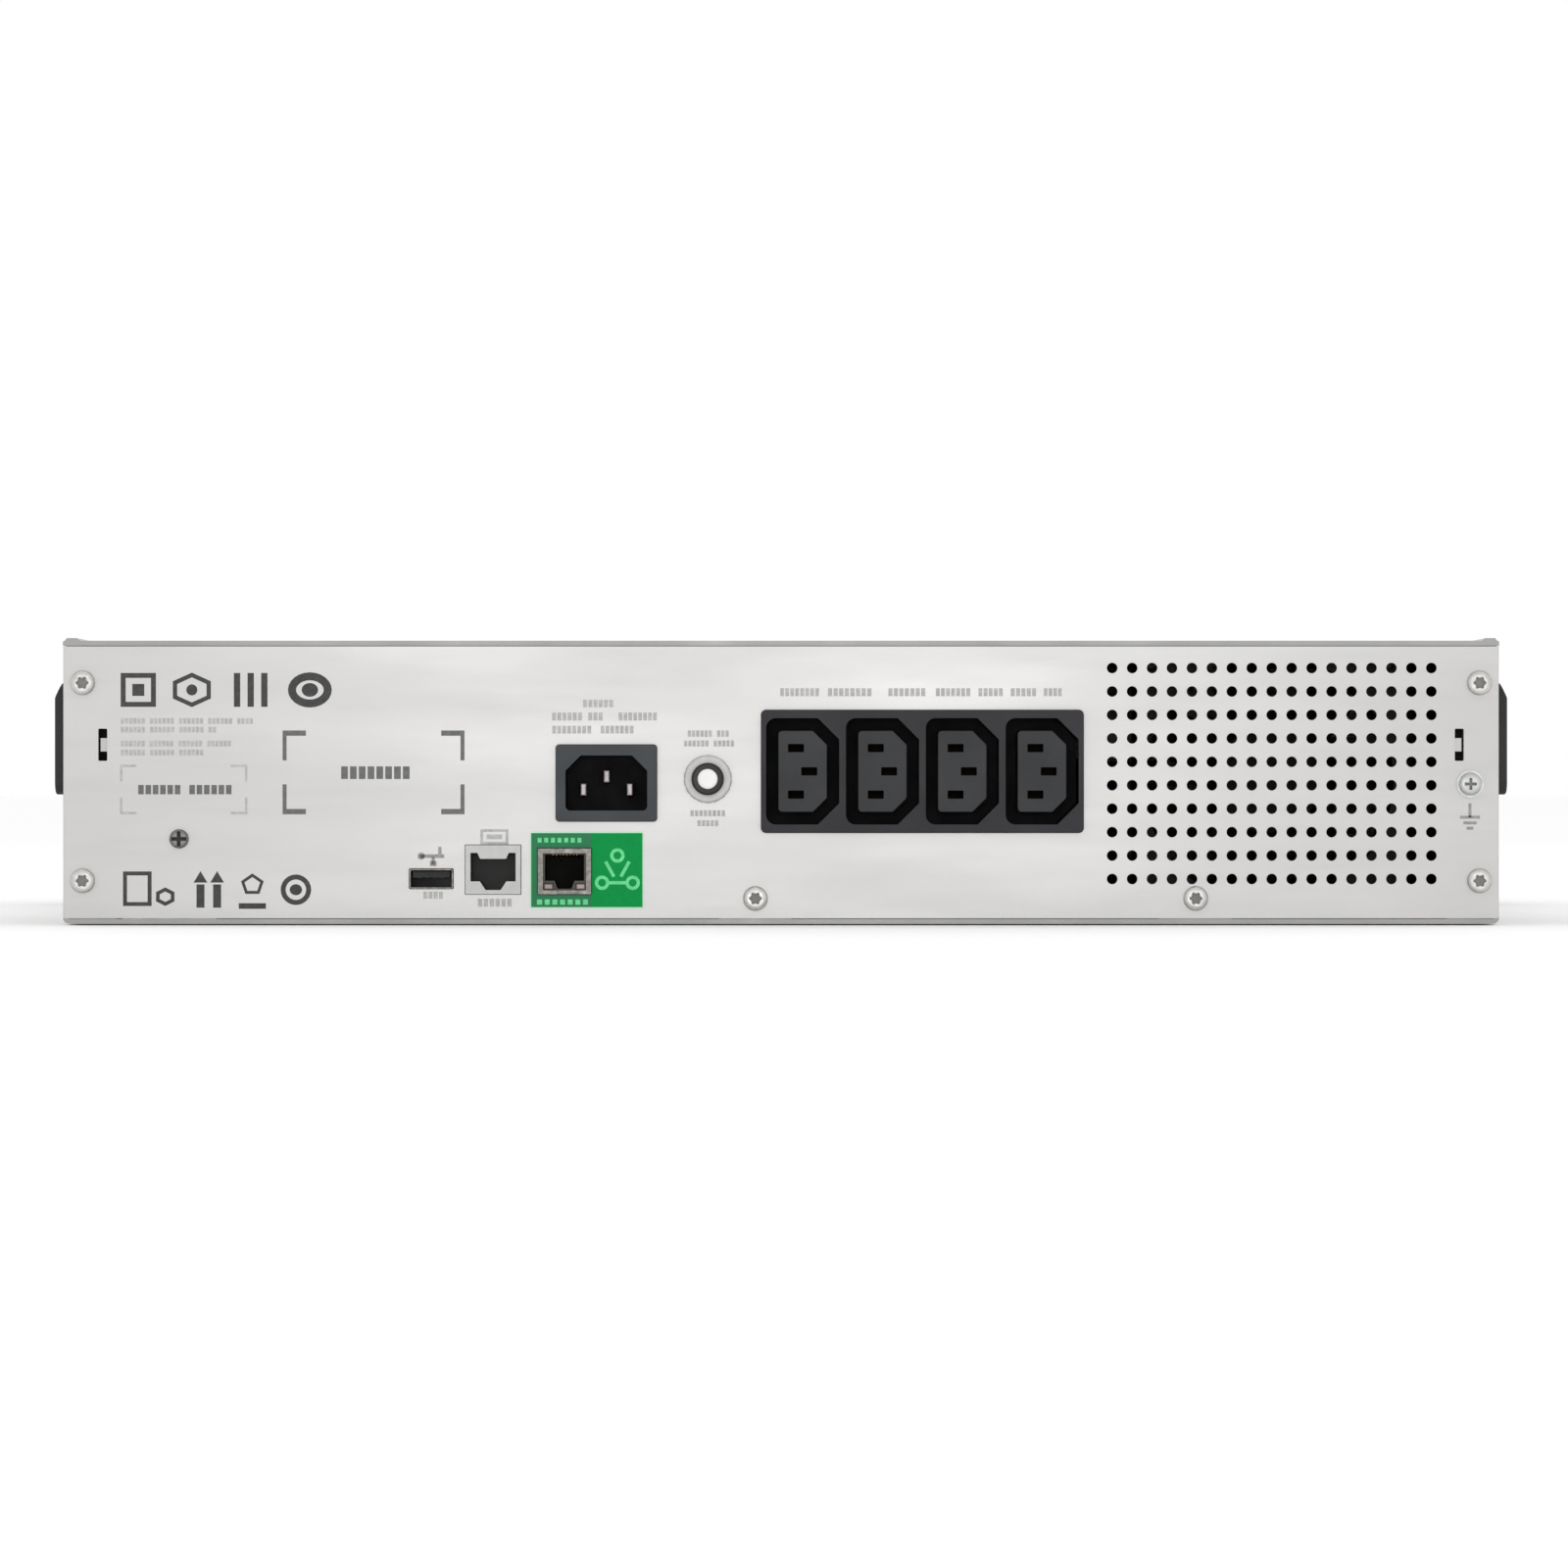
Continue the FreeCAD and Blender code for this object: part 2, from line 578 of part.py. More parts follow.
# ---- data ports ----
def usb_shell():
    """Folded steel shell of the USB receptacle."""
    outer = prism("y", centred(USB, USB_SHELL, 0.5), REAR - 0.4, REAR + 14)
    hollow = prism("y", centred(USB, (USB_SHELL[0] - 0.7, USB_SHELL[1] - 0.7), 0.3), REAR - 1, REAR + 13)
    foot_z = USB[1] - USB_SHELL[1] / 2
    feet = [block(USB[0] + side * 6.2, USB[0] + side * 4.6, REAR + 2, REAR + 13, PORT_FLOOR, foot_z) for side in (-1, 1)]
    return joined([outer.cut(hollow)] + feet)


def usb_tongue():
    """Plastic tongue that carries the USB contacts."""
    x, z = USB
    back = block(x - 6.1, x + 6.1, REAR + 10, REAR + 13, z - 2.55, z + 2.55)
    tongue = block(x - 5.6, x + 5.6, REAR + 1.2, REAR + 10, z + 0.35, z + 2.15)
    leads = [block(x + step * 2.3 - 0.5, x + step * 2.3 + 0.5, REAR + 2, REAR + 10, z + 0.1, z + 0.35)
             for step in (-1.5, -0.5, 0.5, 1.5)]
    return joined([back, tongue] + leads)


def jack_outline(x, jack):
    """The plug's opening in a modular jack, with the latch's tapered notch at the bottom."""
    half, high = jack[1][0] / 2, jack[1][1]
    wide, narrow, deep = jack[2][0] / 2, jack[2][1] / 2, jack[2][2]
    floor = jack[3]
    return [
        (x - narrow, floor - deep, 0.3), (x + narrow, floor - deep, 0.3), (x + wide, floor, 0),
        (x + half, floor, 0.2), (x + half, floor + high, 0.2), (x - half, floor + high, 0.2),
        (x - half, floor, 0.2), (x - wide, floor, 0),
    ]


def serial_jack():
    """Plastic modular jack of the serial port, with its key at the top."""
    x = SERIAL_X
    (width, height), opening = SERIAL[:2]
    body = block(x - width / 2, x + width / 2, REAR - 0.6, REAR + JACK_DEPTH, PORT_FLOOR, PORT_FLOOR + height)
    body = body.cut(prism("y", jack_outline(x, SERIAL), REAR - 2, REAR + 13))
    top = SERIAL[3] + opening[1]
    slope = SERIAL_KEY[0] / 2 - 0.8
    corners = [(x - SERIAL_KEY[0] / 2, top, 0), (x - slope, top - SERIAL_KEY[1], 0.3),
               (x + slope, top - SERIAL_KEY[1], 0.3), (x + SERIAL_KEY[0] / 2, top, 0)]
    return joined([body, prism("y", corners + [(x, top + 0.4, 0)], REAR - 0.6, REAR + 1.4)])


def network_jack():
    """Steel shield round the network port."""
    x = NETWORK_X
    size, height = NETWORK[0][0] / 2, NETWORK[0][1]
    low, high = PORT_FLOOR, PORT_FLOOR + height
    outer = block(x - size, x + size, REAR - 0.9, REAR + JACK_DEPTH + 0.4, low, high)
    hollow = block(x - size + 0.4, x + size - 0.4, REAR - 0.5, REAR + JACK_DEPTH, low + 0.4, high - 0.4)
    mouth = prism("y", rectangle(x - size + 1.5, x + size - 1.5, low + 1.1, high - 1.4, 0.4), REAR - 2, REAR)
    return outer.cut(hollow).cut(mouth)


def network_jack_insert():
    """Plastic insert of the network port, inside its shield, with a recess for each lamp."""
    x = NETWORK_X
    size = NETWORK[0][0] / 2 - 0.4
    low, high = PORT_FLOOR + 0.4, PORT_FLOOR + NETWORK[0][1] - 0.4
    body = block(x - size, x + size, REAR - 0.5, REAR + JACK_DEPTH, low, high)
    lamps = [block(x + side * 3.4, x + side * 6.3, REAR - 1, REAR + 4, low + 0.9, low + 2.8) for side in (-1, 1)]
    return body.cut(prism("y", jack_outline(x, NETWORK), REAR - 2, REAR + 13)).cut(group(lamps))


def jack_contacts():
    """Eight gold-plated wires in the roof of each modular jack."""
    made = []
    for x, jack in ((SERIAL_X, SERIAL), (NETWORK_X, NETWORK)):
        top = jack[3] + jack[1][1]
        for i in range(8):
            at = x + (i - 3.5) * 1.02
            wire = prism("x", [(REAR + 4.6, top - 0.15, 0), (REAR + 12.9, top - 1.4, 0),
                               (REAR + 12.9, top - 1.05, 0), (REAR + 4.6, top, 0)], at - 0.18, at + 0.18)
            made.append(wire)
    return group(made)


def network_label():
    """Green label plate round the network port."""
    x, z, width, height, thick = LABEL
    plate = prism("y", rectangle(x - width / 2, x + width / 2, z - height / 2, z + height / 2, 1.0), REAR - thick, REAR)
    size, top = NETWORK[0][0] / 2 + 0.2, PORT_FLOOR + NETWORK[0][1] + 0.2
    return plate.cut(block(NETWORK_X - size, NETWORK_X + size, REAR - 2, REAR + 2, PORT_FLOOR - 0.2, top))


def comms_posts():
    """X and Y of the communications board's posts."""
    return [(x, y) for x in (-95.0, -46.0) for y in (REAR + 24, REAR + 68)]


def comms_board():
    """Circuit board that the three data ports stand on."""
    board = block(-113, -41, FLANGE_Y + 0.4, REAR + 74, PORT_FLOOR - BOARD, PORT_FLOOR)
    chips = [block(-96, -82, REAR + 34, REAR + 48, PORT_FLOOR, PORT_FLOOR + 1.6),
             block(-72, -62, REAR + 36, REAR + 46, PORT_FLOOR, PORT_FLOOR + 1.4)]
    board = joined([board] + chips)
    return board.cut(group([rod("z", x, y, M3_CLEAR, 0, 20) for x, y in comms_posts()]))


# ---- side grips and rack ears ----
def side_grip(side):
    """Moulded carrying grip: a rim outside the side wall and a finger pocket inside it."""
    low, high = GRIP_Z
    y0 = REAR + GRIP_SETBACK
    middle = y0 + GRIP_LENGTH / 2
    rim = prism("x", rectangle(y0, y0 + GRIP_LENGTH, low, high, 4.0), HALF, HALF + GRIP_PROUD)
    slope = prism("y", [(HALF + GRIP_PROUD + 1, high - 4.6, 0), (HALF + GRIP_PROUD + 1, high + 1, 0),
                        (HALF + 0.9, high + 1, 0), (HALF + 0.9, high, 0), (HALF + GRIP_PROUD, high - 4.6, 0)],
                  y0 - 1, y0 + GRIP_LENGTH + 1)
    rim = soften(rim, 0.7, lambda m, e: abs(m.x - HALF - GRIP_PROUD) < 0.01)
    rim = rim.cut(slope)
    cup = prism("x", centred((middle, POCKET_Z), (POCKET[0] + 4, POCKET[1] + 4), 2.8), HALF - POCKET[2] - 2, HALF)
    hollow = prism("x", centred((middle, POCKET_Z), POCKET, 2.0), HALF - POCKET[2], HALF + 10)
    return mirrored(joined([rim, cup]).cut(hollow), side)


def rack_ear(side):
    """Angle bracket with two slots for the rack and a flange screwed to the side wall."""
    tip = RACK_WIDTH / 2
    section = [(HALF, FRONT - EAR_LENGTH, 0), (HALF + EAR, FRONT - EAR_LENGTH, 0), (HALF + EAR, FRONT - EAR, 0),
               (tip, FRONT - EAR, 0), (tip, FRONT, 0), (HALF, FRONT, 2.4)]
    ear = prism("z", section, *EAR_Z)
    cuts = []
    for end in (-1, 1):
        z = MID_Z + end * RACK_HOLES_Z / 2
        slot = centred((RACK_HOLES_X / 2, z), EAR_SLOT, EAR_SLOT[1] / 2 - 0.001)
        cuts.append(prism("y", slot, FRONT - 5, FRONT + 2))
    for y, z in ear_screw_places():
        cuts.append(rod("x", y, z, M4_CLEAR, HALF - 1, HALF + 4))
    ear = soften(ear, 5.0, lambda m, e: m.y < FRONT - EAR_LENGTH + 0.01 and (m.z < 1 or m.z > 85) and abs(m.x - HALF - 1) < 0.1)
    ear = soften(ear, 2.0, lambda m, e: m.x > tip - 0.01 and (m.z < 1 or m.z > 85) and abs(m.y - FRONT + 1) < 0.1)
    return mirrored(ear.cut(group(cuts)), side)


def ear_screws():
    """Four pan-head screws in each rack ear."""
    return group([screw((side * (HALF + EAR), y, z), (side, 0, 0), M4, 6.5, 3.6, 2.1, 3.6)
                  for side in (-1, 1) for y, z in ear_screw_places()])


# ---- boards and power parts ----
def board_posts():
    """X and Y of the main board's posts."""
    x0, x1, y0, y1 = MAIN_BOARD
    return [(x, y) for x in (x0 + 8, x1 - 8) for y in (y0 + 8, (y0 + y1) / 2, y1 - 8)]


def board_standoffs():
    """Round posts that lift both boards off the base."""
    made = []
    for places, top in ((board_posts(), MAIN_BOARD_Z), (comms_posts(), PORT_FLOOR - BOARD)):
        for x, y in places:
            post = rod("z", x, y, 3.0, SHEET, top).fuse(rod("z", x, y, M3, 0.2, SHEET))
            made.append(post.cut(rod("z", x, y, M3_TAP, SHEET + 1, top + 1)))
    return group(made)


def inner_screws():
    """Screws of the two boards and of the fan."""
    made = []
    for places, top in ((board_posts(), MAIN_BOARD_Z + BOARD), (comms_posts(), PORT_FLOOR)):
        made += [screw((x, y, top), (0, 0, 1), M3, 5.0, 2.7, 1.7, 2.8) for x, y in places]
    for x, z in fan_corners():
        made.append(screw((x, FAN_Y - PANEL, z), (0, -1, 0), M3, 12.0, 2.7, 1.7, 2.8))
    return group(made)


def main_board():
    """Power circuit board."""
    x0, x1, y0, y1 = MAIN_BOARD
    board = block(x0, x1, y0, y1, MAIN_BOARD_Z, MAIN_BOARD_Z + BOARD)
    return board.cut(group([rod("z", x, y, M3_CLEAR, 0, 20) for x, y in board_posts()]))


def heat_sinks():
    """Two finned aluminium extrusions that cool the inverter's transistors."""
    made = []
    floor = MAIN_BOARD_Z + BOARD
    for x in (40.0, 150.0):
        web = block(x, x + 5, -120, 30, floor, floor + 52)
        fins = [block(x + 5, x + 30, -120, 30, floor + 3 + i * 7, floor + 5 + i * 7) for i in range(7)]
        made.append(joined([web] + fins))
    return group(made)


def bulk_capacitors():
    """Four electrolytic capacitors."""
    made = []
    for i in range(4):
        can = rod("z", 108.0, -100 + i * 34, 12.5, MAIN_BOARD_Z + BOARD, MAIN_BOARD_Z + BOARD + 40)
        made.append(soften(can, 1.5, lambda m, e: e.Closed))
    return group(made)


def relays():
    """Transfer and voltage-step relays."""
    floor = MAIN_BOARD_Z + BOARD
    return group([prism("z", rectangle(-20, 9, y, y + 13, 1.0), floor, floor + 25) for y in (-120, -98, -76, -54)])


def filter_choke():
    """Toroidal choke lying on the main board."""
    middle = FreeCAD.Vector(10, 0, MAIN_BOARD_Z + BOARD + 10)
    return Part.makeTorus(18, 10, middle, FreeCAD.Vector(0, 0, 1))


def transformer_core():
    """Laminated core with a window each side of its middle leg."""
    x0, x1 = CORE_X
    middle = (x0 + x1) / 2
    core = block(x0, x1, CORE_Y[0], CORE_Y[1], SHEET, CORE_TOP)
    windows = [block(middle + side * 13, middle + side * 28, CORE_Y[0] - 1, CORE_Y[1] + 1, SHEET + 13, CORE_TOP - 13)
               for side in (-1, 1)]
    return core.cut(group(windows))


def transformer_winding():
    """Taped copper winding round the middle leg."""
    middle = (CORE_X[0] + CORE_X[1]) / 2
    low, high = SHEET + 13.3, CORE_TOP - 13.3
    outer = prism("z", rectangle(middle - 27.5, middle + 27.5, CORE_Y[0] - 14, CORE_Y[1] + 14, 8.0), low, high)
    return outer.cut(block(middle - 13.2, middle + 13.2, CORE_Y[0] - 0.2, CORE_Y[1] + 0.2, low - 1, high + 1))


def clamp_bolts():
    """X and Y of the bolts that hold the transformer."""
    return [(x, y) for x in (CORE_X[0] - 9, CORE_X[1] + 9) for y in (CORE_Y[0] + 12, CORE_Y[1] - 12)]


def transformer_clamp():
    """Strap over the core, with a foot each side and a tab to the rear panel."""
    x0, x1 = CORE_X
    y0, y1 = CORE_Y[0] + 4, CORE_Y[1] - 4
    outer = block(x0 - 2, x1 + 2, y0, y1, SHEET, CORE_TOP + 2)
    strap = outer.cut(block(x0, x1, y0 - 1, y1 + 1, 0, CORE_TOP))
    feet = [block(x0 - 16, x0 - 2, y0, y1, SHEET, SHEET + 2), block(x1 + 2, x1 + 16, y0, y1, SHEET, SHEET + 2)]
    run = block(x0 - 2, x0 + 26, FLANGE_Y, y0, SHEET, SHEET + 2)
    run = run.cut(block(x0, x0 + 30, CORE_Y[0] - 0.1, y0 + 1, 0, 10))
    tab = block(BRACKET_SCREW[0] - 8, BRACKET_SCREW[0] + 8, FLANGE_Y, FLANGE_Y + 2, SHEET, BRACKET_SCREW[1] + 8)
    solid = joined([strap, run, tab] + feet)
    holes = [rod("z", x, y, M4_CLEAR, 0, 10) for x, y in clamp_bolts()]
    holes.append(rod("y", BRACKET_SCREW[0], BRACKET_SCREW[1], M3_TAP, REAR - 1, REAR + 10))
    return solid.cut(group(holes))


def transformer_bolts():
    """Four bolts through the clamp's feet into the base."""
    return group([screw((x, y, SHEET + 2), (0, 0, 1), M4, 3.2, 3.6, 2.4, 3.6) for x, y in clamp_bolts()])


# ---- fan ----
def fan_corners():
    """X and Z of the fan's four screw holes."""
    half = FAN_HOLES / 2
    return [(FAN_CENTRE[0] + a * half, FAN_CENTRE[1] + b * half) for a in (-1, 1) for b in (-1, 1)]


def fan_frame():
    """Square fan housing with its bearing held by four struts."""
    x, z = FAN_CENTRE
    frame = prism("y", centred(FAN_CENTRE, (FAN, FAN), 5.0), FAN_Y, FAN_Y + FAN_DEPTH)
    frame = frame.cut(rod("y", x, z, FAN_BORE, FAN_Y - 1, FAN_Y + FAN_DEPTH + 1))
    back = FAN_Y + FAN_DEPTH
    struts = [block(x - 39, x + 39, back - 3, back, z - 1.5, z + 1.5), block(x - 1.5, x + 1.5, back - 3, back, z - 39, z + 39)]
    hub = rod("y", x, z, 15.0, back - 3, back)
    tube = rod("y", x, z, 4.0, back - 15, back)
    frame = joined([frame, hub, tube] + struts).cut(rod("y", x, z, 1.55, back - 20, back + 1))
    return frame.cut(group([rod("y", a, b, M3_TAP, FAN_Y - 1, back + 1) for a, b in fan_corners()]))


def fan_rotor():
    """Hub cup with seven pitched blades and its shaft."""
    x, z = FAN_CENTRE
    front = FAN_Y + 2.0
    back = FAN_Y + FAN_DEPTH - 4.5
    cup = rod("y", x, z, 16.0, front, back).cut(rod("y", x, z, 14.0, front + 2, back + 1))
    pieces = [cup, rod("y", x, z, 1.5, front + 1, back + 4)]
    for i in range(BLADES):
        blade = Part.makeBox(22.0, 17.0, 1.4, FreeCAD.Vector(14.6, -8.5, -0.7))
        blade.rotate(FreeCAD.Vector(0, 0, 0), FreeCAD.Vector(1, 0, 0), 52)
        blade.rotate(FreeCAD.Vector(0, 0, 0), FreeCAD.Vector(0, 1, 0), i * 360.0 / BLADES)
        blade.translate(FreeCAD.Vector(x, (front + back) / 2, z))
        pieces.append(blade)
    sweep = rod("y", x, z, ROTOR_RADIUS, front - 3, back + 5)
    hollow = rod("y", x, z, 14.0, front + 2, back)
    blades = joined(pieces[2:] + [rod("y", x, z, 16.0, front, back)]).cut(hollow)
    return joined([blades, pieces[1]]).common(sweep)


def fan_bracket():
    """Bent plate that carries the fan behind the cooling holes."""
    x, z = FAN_CENTRE
    half = FAN / 2
    plate = block(x - half, x + half, FAN_Y - PANEL, FAN_Y, SHEET, z + half - 1)
    plate = plate.cut(rod("y", x, z, FAN_BORE, FAN_Y - 5, FAN_Y + 5))
    foot = block(x - half, x + half, FAN_Y - 12, FAN_Y, SHEET, SHEET + PANEL)
    foot = foot.cut(block(BOTTOM_SCREWS_X[1] - 12, BOTTOM_SCREWS_X[1] + 12, FAN_Y - 13, FAN_Y - 6, 0, 10))
    return joined([plate, foot]).cut(group([rod("y", a, b, M3_CLEAR, FAN_Y - 5, FAN_Y + 1) for a, b in fan_corners()]))


# ---- battery ----
def bay_wall():
    """Partition between the battery bay and the electronics."""
    x = BAY_X[1] + 1
    end = COVER_FLANGE / 4 - INNER
    side = block(x, x + PANEL, BAY_BACK, FRONT - SHEET, SHEET, 80)
    back = block(end, x + PANEL, BAY_BACK - PANEL, BAY_BACK, SHEET, 80)
    foot = block(end, x + PANEL, BAY_BACK - 12, BAY_BACK, SHEET, SHEET + PANEL)
    return joined([side, back, foot])


def plug_centre():
    """X of the battery connector, in the middle of the tray."""
    return (TRAY_X[0] + TRAY_X[1]) / 2


def battery_socket():
    """Fixed half of the battery connector, on the bay's back wall."""
    x = plug_centre()
    body = prism("y", centred((x, PLUG_Z), (PLUG[0] + 9, PLUG[1] + 9), 2.0), BAY_BACK, BAY_BACK + 12)
    body = body.cut(prism("y", centred((x, PLUG_Z), (PLUG[0] + 1, PLUG[1] + 1), 1.0), BAY_BACK + 2, BAY_BACK + 13))
    blades = [block(x + side * 9 - 4, x + side * 9 + 4, BAY_BACK + 2, BAY_BACK + 10, PLUG_Z - 0.75, PLUG_Z + 0.75) for side in (-1, 1)]
    return joined([body] + blades)


def battery_plug():
    """Moving half of the battery connector, on the tray's back."""
    x = plug_centre()
    body = prism("y", centred((x, PLUG_Z), PLUG, 1.0), BAY_BACK + 3, TRAY_BACK - PANEL)
    slots = [block(x + side * 9 - 4.5, x + side * 9 + 4.5, BAY_BACK + 1, BAY_BACK + 12, PLUG_Z - 1.25, PLUG_Z + 1.25) for side in (-1, 1)]
    return body.cut(group(slots))


def battery_tray():
    """Sheet tray on two pressed runners, with the front plate that closes the bay."""
    x0, x1 = TRAY_X
    floor = TRAY_FLOOR
    walls = [
        block(x0, x1, TRAY_BACK - PANEL, FRONT, floor, floor + PANEL),
        block(x0, x0 + PANEL, TRAY_BACK - PANEL, FRONT, floor, TRAY_WALL),
        block(x1 - PANEL, x1, TRAY_BACK - PANEL, FRONT, floor, TRAY_WALL),
        block(x0, x1, TRAY_BACK - PANEL, TRAY_BACK, floor, 50),
        block(-213, -28.5, FRONT, FRONT + PANEL, *TRAY_FRONT_Z),
    ]
    for x in (x0 + 18, x1 - 18):
        walls.append(block(x - 4, x + 4, TRAY_BACK, FRONT - 6, SHEET + 0.1, floor))
    tray = joined(walls)
    holes = [rod("y", x, THUMBSCREW_Z, M4 + 0.08, FRONT - 2, FRONT + 3) for x in THUMBSCREW_X]
    for x, z in HOOKS:
        holes.append(block(x - 5, x + 5, FRONT - 1, FRONT + 3, z - 2.4, z + 2.4))
    return tray.cut(group(holes))


def battery(place):
    """One sealed twelve-volt battery lying on its side, with its two terminals."""
    x = plug_centre()
    y0 = TRAY_BACK + 2 + place * (BATTERY[1] + BATTERY_GAP)
    z0 = TRAY_FLOOR + PANEL
    case = prism("z", rectangle(x - BATTERY[0] / 2, x + BATTERY[0] / 2, y0, y0 + BATTERY[1] - 6, 3.0), z0, z0 + BATTERY[2])
    case = soften(case, 1.5, lambda m, e: abs(m.z - z0 - BATTERY[2]) < 0.01)
    tabs = [block(x + side * 60 - 3.2, x + side * 60 + 3.2, y0 + BATTERY[1] - 6, y0 + BATTERY[1] - 0.5, z0 + 50, z0 + 50.8)
            for side in (-1, 1)]
    return joined([case] + tabs)


def battery_pull():
    """Fixed handle on the tray's front plate."""
    low, high = PULL_X
    y0 = FRONT + PANEL
    outer = prism("z", [(low, y0, 0), (high, y0, 0), (high, y0 + 17, 5.0), (low, y0 + 17, 5.0)], MID_Z - 7, MID_Z + 7)
    inner = prism("z", [(low + 5, y0 - 1, 0), (high - 5, y0 - 1, 0), (high - 5, y0 + 12.5, 3.0), (low + 5, y0 + 12.5, 3.0)],
                  MID_Z - 8, MID_Z + 8)
    handle = outer.cut(inner)
    return soften(handle, 1.2, lambda m, e: abs(m.y - y0 - 17) < 0.01)


def thumbscrew(x):
    """Captive knurled screw of the battery tray."""
    shank = rod("y", x, THUMBSCREW_Z, M4, FRONT - 4, FRONT + PANEL + 1)
    y0 = FRONT + PANEL + 0.1
    collar = rod("y", x, THUMBSCREW_Z, 3.4, y0, y0 + 2)
    head = rod("y", x, THUMBSCREW_Z, 4.4, y0 + 2, y0 + 9)
    head = soften(head, 0.6, lambda m, e: abs(m.y - y0 - 9) < 0.01)
    flutes = []
    for i in range(18):
        angle = math.radians(i * 20)
        flutes.append(rod("y", x + 4.6 * math.cos(angle), THUMBSCREW_Z + 4.6 * math.sin(angle), 0.45, y0 + 2.8, y0 + 8.2))
    return joined([shank, collar, head.cut(group(flutes))])


# ---- display ----
def display_housing():
    """Box on the front wall that holds the screen and the buttons."""
    x0, x1 = DISPLAY_X
    z0, z1 = DISPLAY_Z
    wall = DISPLAY_WALL
    outer = prism("y", rectangle(x0, x1, z0, z1, 4.0), FRONT, DISPLAY_FACE)
    outer = soften(outer, 0.8, lambda m, e: abs(m.y - DISPLAY_FACE) < 0.01)
    inner = prism("y", rectangle(x0 + wall, x1 - wall, z0 + wall, z1 - wall, 2.0), FRONT - 1, DISPLAY_FACE - wall)
    holes = [prism("y", rectangle(*SCREEN, 1.5), DISPLAY_FACE - 5, DISPLAY_FACE + 1)]
    holes.append(rod("y", POWER[0], POWER[1], POWER[2], DISPLAY_FACE - 5, DISPLAY_FACE + 1))
    for x in MENU_X:
        for z in MENU_Z:
            holes.append(prism("y", centred((x, z), (MENU_SIZE, MENU_SIZE), 2.0), DISPLAY_FACE - 5, DISPLAY_FACE + 1))
    return outer.cut(inner).cut(group(holes))


def display_window():
    """Clear lens over the screen."""
    x0, x1, z0, z1 = SCREEN
    return prism("y", rectangle(x0 + 0.1, x1 - 0.1, z0 + 0.1, z1 - 0.1, 1.4), DISPLAY_FACE - 2.2, DISPLAY_FACE - 0.4)


def display_board():
    """Circuit board with the liquid-crystal panel and the buttons' switches."""
    y0 = DISPLAY_FACE - 9
    board = block(DISPLAY_X[0] + 3, DISPLAY_X[1] - 3, y0, y0 + BOARD, DISPLAY_Z[0] + 3, DISPLAY_Z[1] - 3)
    x0, x1, z0, z1 = SCREEN
    panel = block(x0 - 2, x1 + 2, y0 + BOARD, DISPLAY_FACE - 2.6, z0 - 2, z1 + 2)
    return joined([board, panel])


def power_button():
    """Round on-off button with a retaining flange."""
    x, z, radius = POWER
    cap = rod("y", x, z, radius - BUTTON_GAP, DISPLAY_FACE - DISPLAY_WALL - 0.2, DISPLAY_FACE + BUTTON_PROUD)
    cap = soften(cap, 0.8, lambda m, e: abs(m.y - DISPLAY_FACE - BUTTON_PROUD) < 0.01)
    flange = rod("y", x, z, radius + 1, DISPLAY_FACE - DISPLAY_WALL - 1.4, DISPLAY_FACE - DISPLAY_WALL - 0.2)
    stem = rod("y", x, z, 2.0, DISPLAY_FACE - 6, DISPLAY_FACE - DISPLAY_WALL - 1.4)
    return joined([cap, flange, stem])


def menu_button(x, z):
    """Square menu button with a retaining flange."""
    size = MENU_SIZE - 2 * BUTTON_GAP
    cap = prism("y", centred((x, z), (size, size), 1.8), DISPLAY_FACE - DISPLAY_WALL - 0.2, DISPLAY_FACE + BUTTON_PROUD)
    cap = soften(cap, 0.6, lambda m, e: abs(m.y - DISPLAY_FACE - BUTTON_PROUD) < 0.01)
    flange = prism("y", centred((x, z), (size + 2, size + 2), 1.0), DISPLAY_FACE - DISPLAY_WALL - 1.4,
                   DISPLAY_FACE - DISPLAY_WALL - 0.2)
    stem = rod("y", x, z, 1.6, DISPLAY_FACE - 6, DISPLAY_FACE - DISPLAY_WALL - 1.4)
    return joined([cap, flange, stem])


# ---- bezel ----
def front_bezel():
    """Snap-on moulded front with air louvres and a window for the display."""
    wall = BEZEL_WALL
    low, high = BEZEL_Z
    outer = prism("y", rectangle(-BEZEL_HALF, BEZEL_HALF, low, high, 3.0), FRONT + 0.2, BEZEL_FRONT)
    outer = soften(outer, 2.0, lambda m, e: abs(m.y - BEZEL_FRONT) < 0.01)
    inner = prism("y", rectangle(wall - BEZEL_HALF, BEZEL_HALF - wall, low + wall, high - wall, 1.5), FRONT - 1, BEZEL_FRONT - wall)
    window = prism("y", rectangle(DISPLAY_X[0] - 0.5, DISPLAY_X[1] + 0.5, DISPLAY_Z[0] - 0.5, DISPLAY_Z[1] + 0.5, 4.5),
                   FRONT, BEZEL_FRONT + 1)
    cuts = [inner, window]
    for x in LOUVRE_COLUMNS:
        for row in range(LOUVRE_ROWS):
            z = MID_Z + (row - (LOUVRE_ROWS - 1) / 2) * LOUVRE_PITCH
            slot = centred((x, z), (LOUVRE_LENGTH, LOUVRE_HEIGHT), LOUVRE_HEIGHT / 2 - 0.001)
            cuts.append(prism("y", slot, BEZEL_FRONT - 4, BEZEL_FRONT + 1))
    shell = outer.cut(group(cuts[:2])).cut(group(cuts[2:]))
    hooks = []
    for x, z in HOOKS:
        edge = low if z < MID_Z else high
        root = (z - 1.1, edge + 0.6) if z > MID_Z else (edge - 0.6, z + 1.1)
        hooks.append(block(x - 4, x + 4, FRONT + 1.6, BEZEL_FRONT - 1, max(min(root), low + 1), min(max(root), high - 1)))
        hooks.append(block(x - 4, x + 4, FRONT - 5, FRONT + 4, z - 1.1, z + 1.1))
    return joined([shell] + hooks)


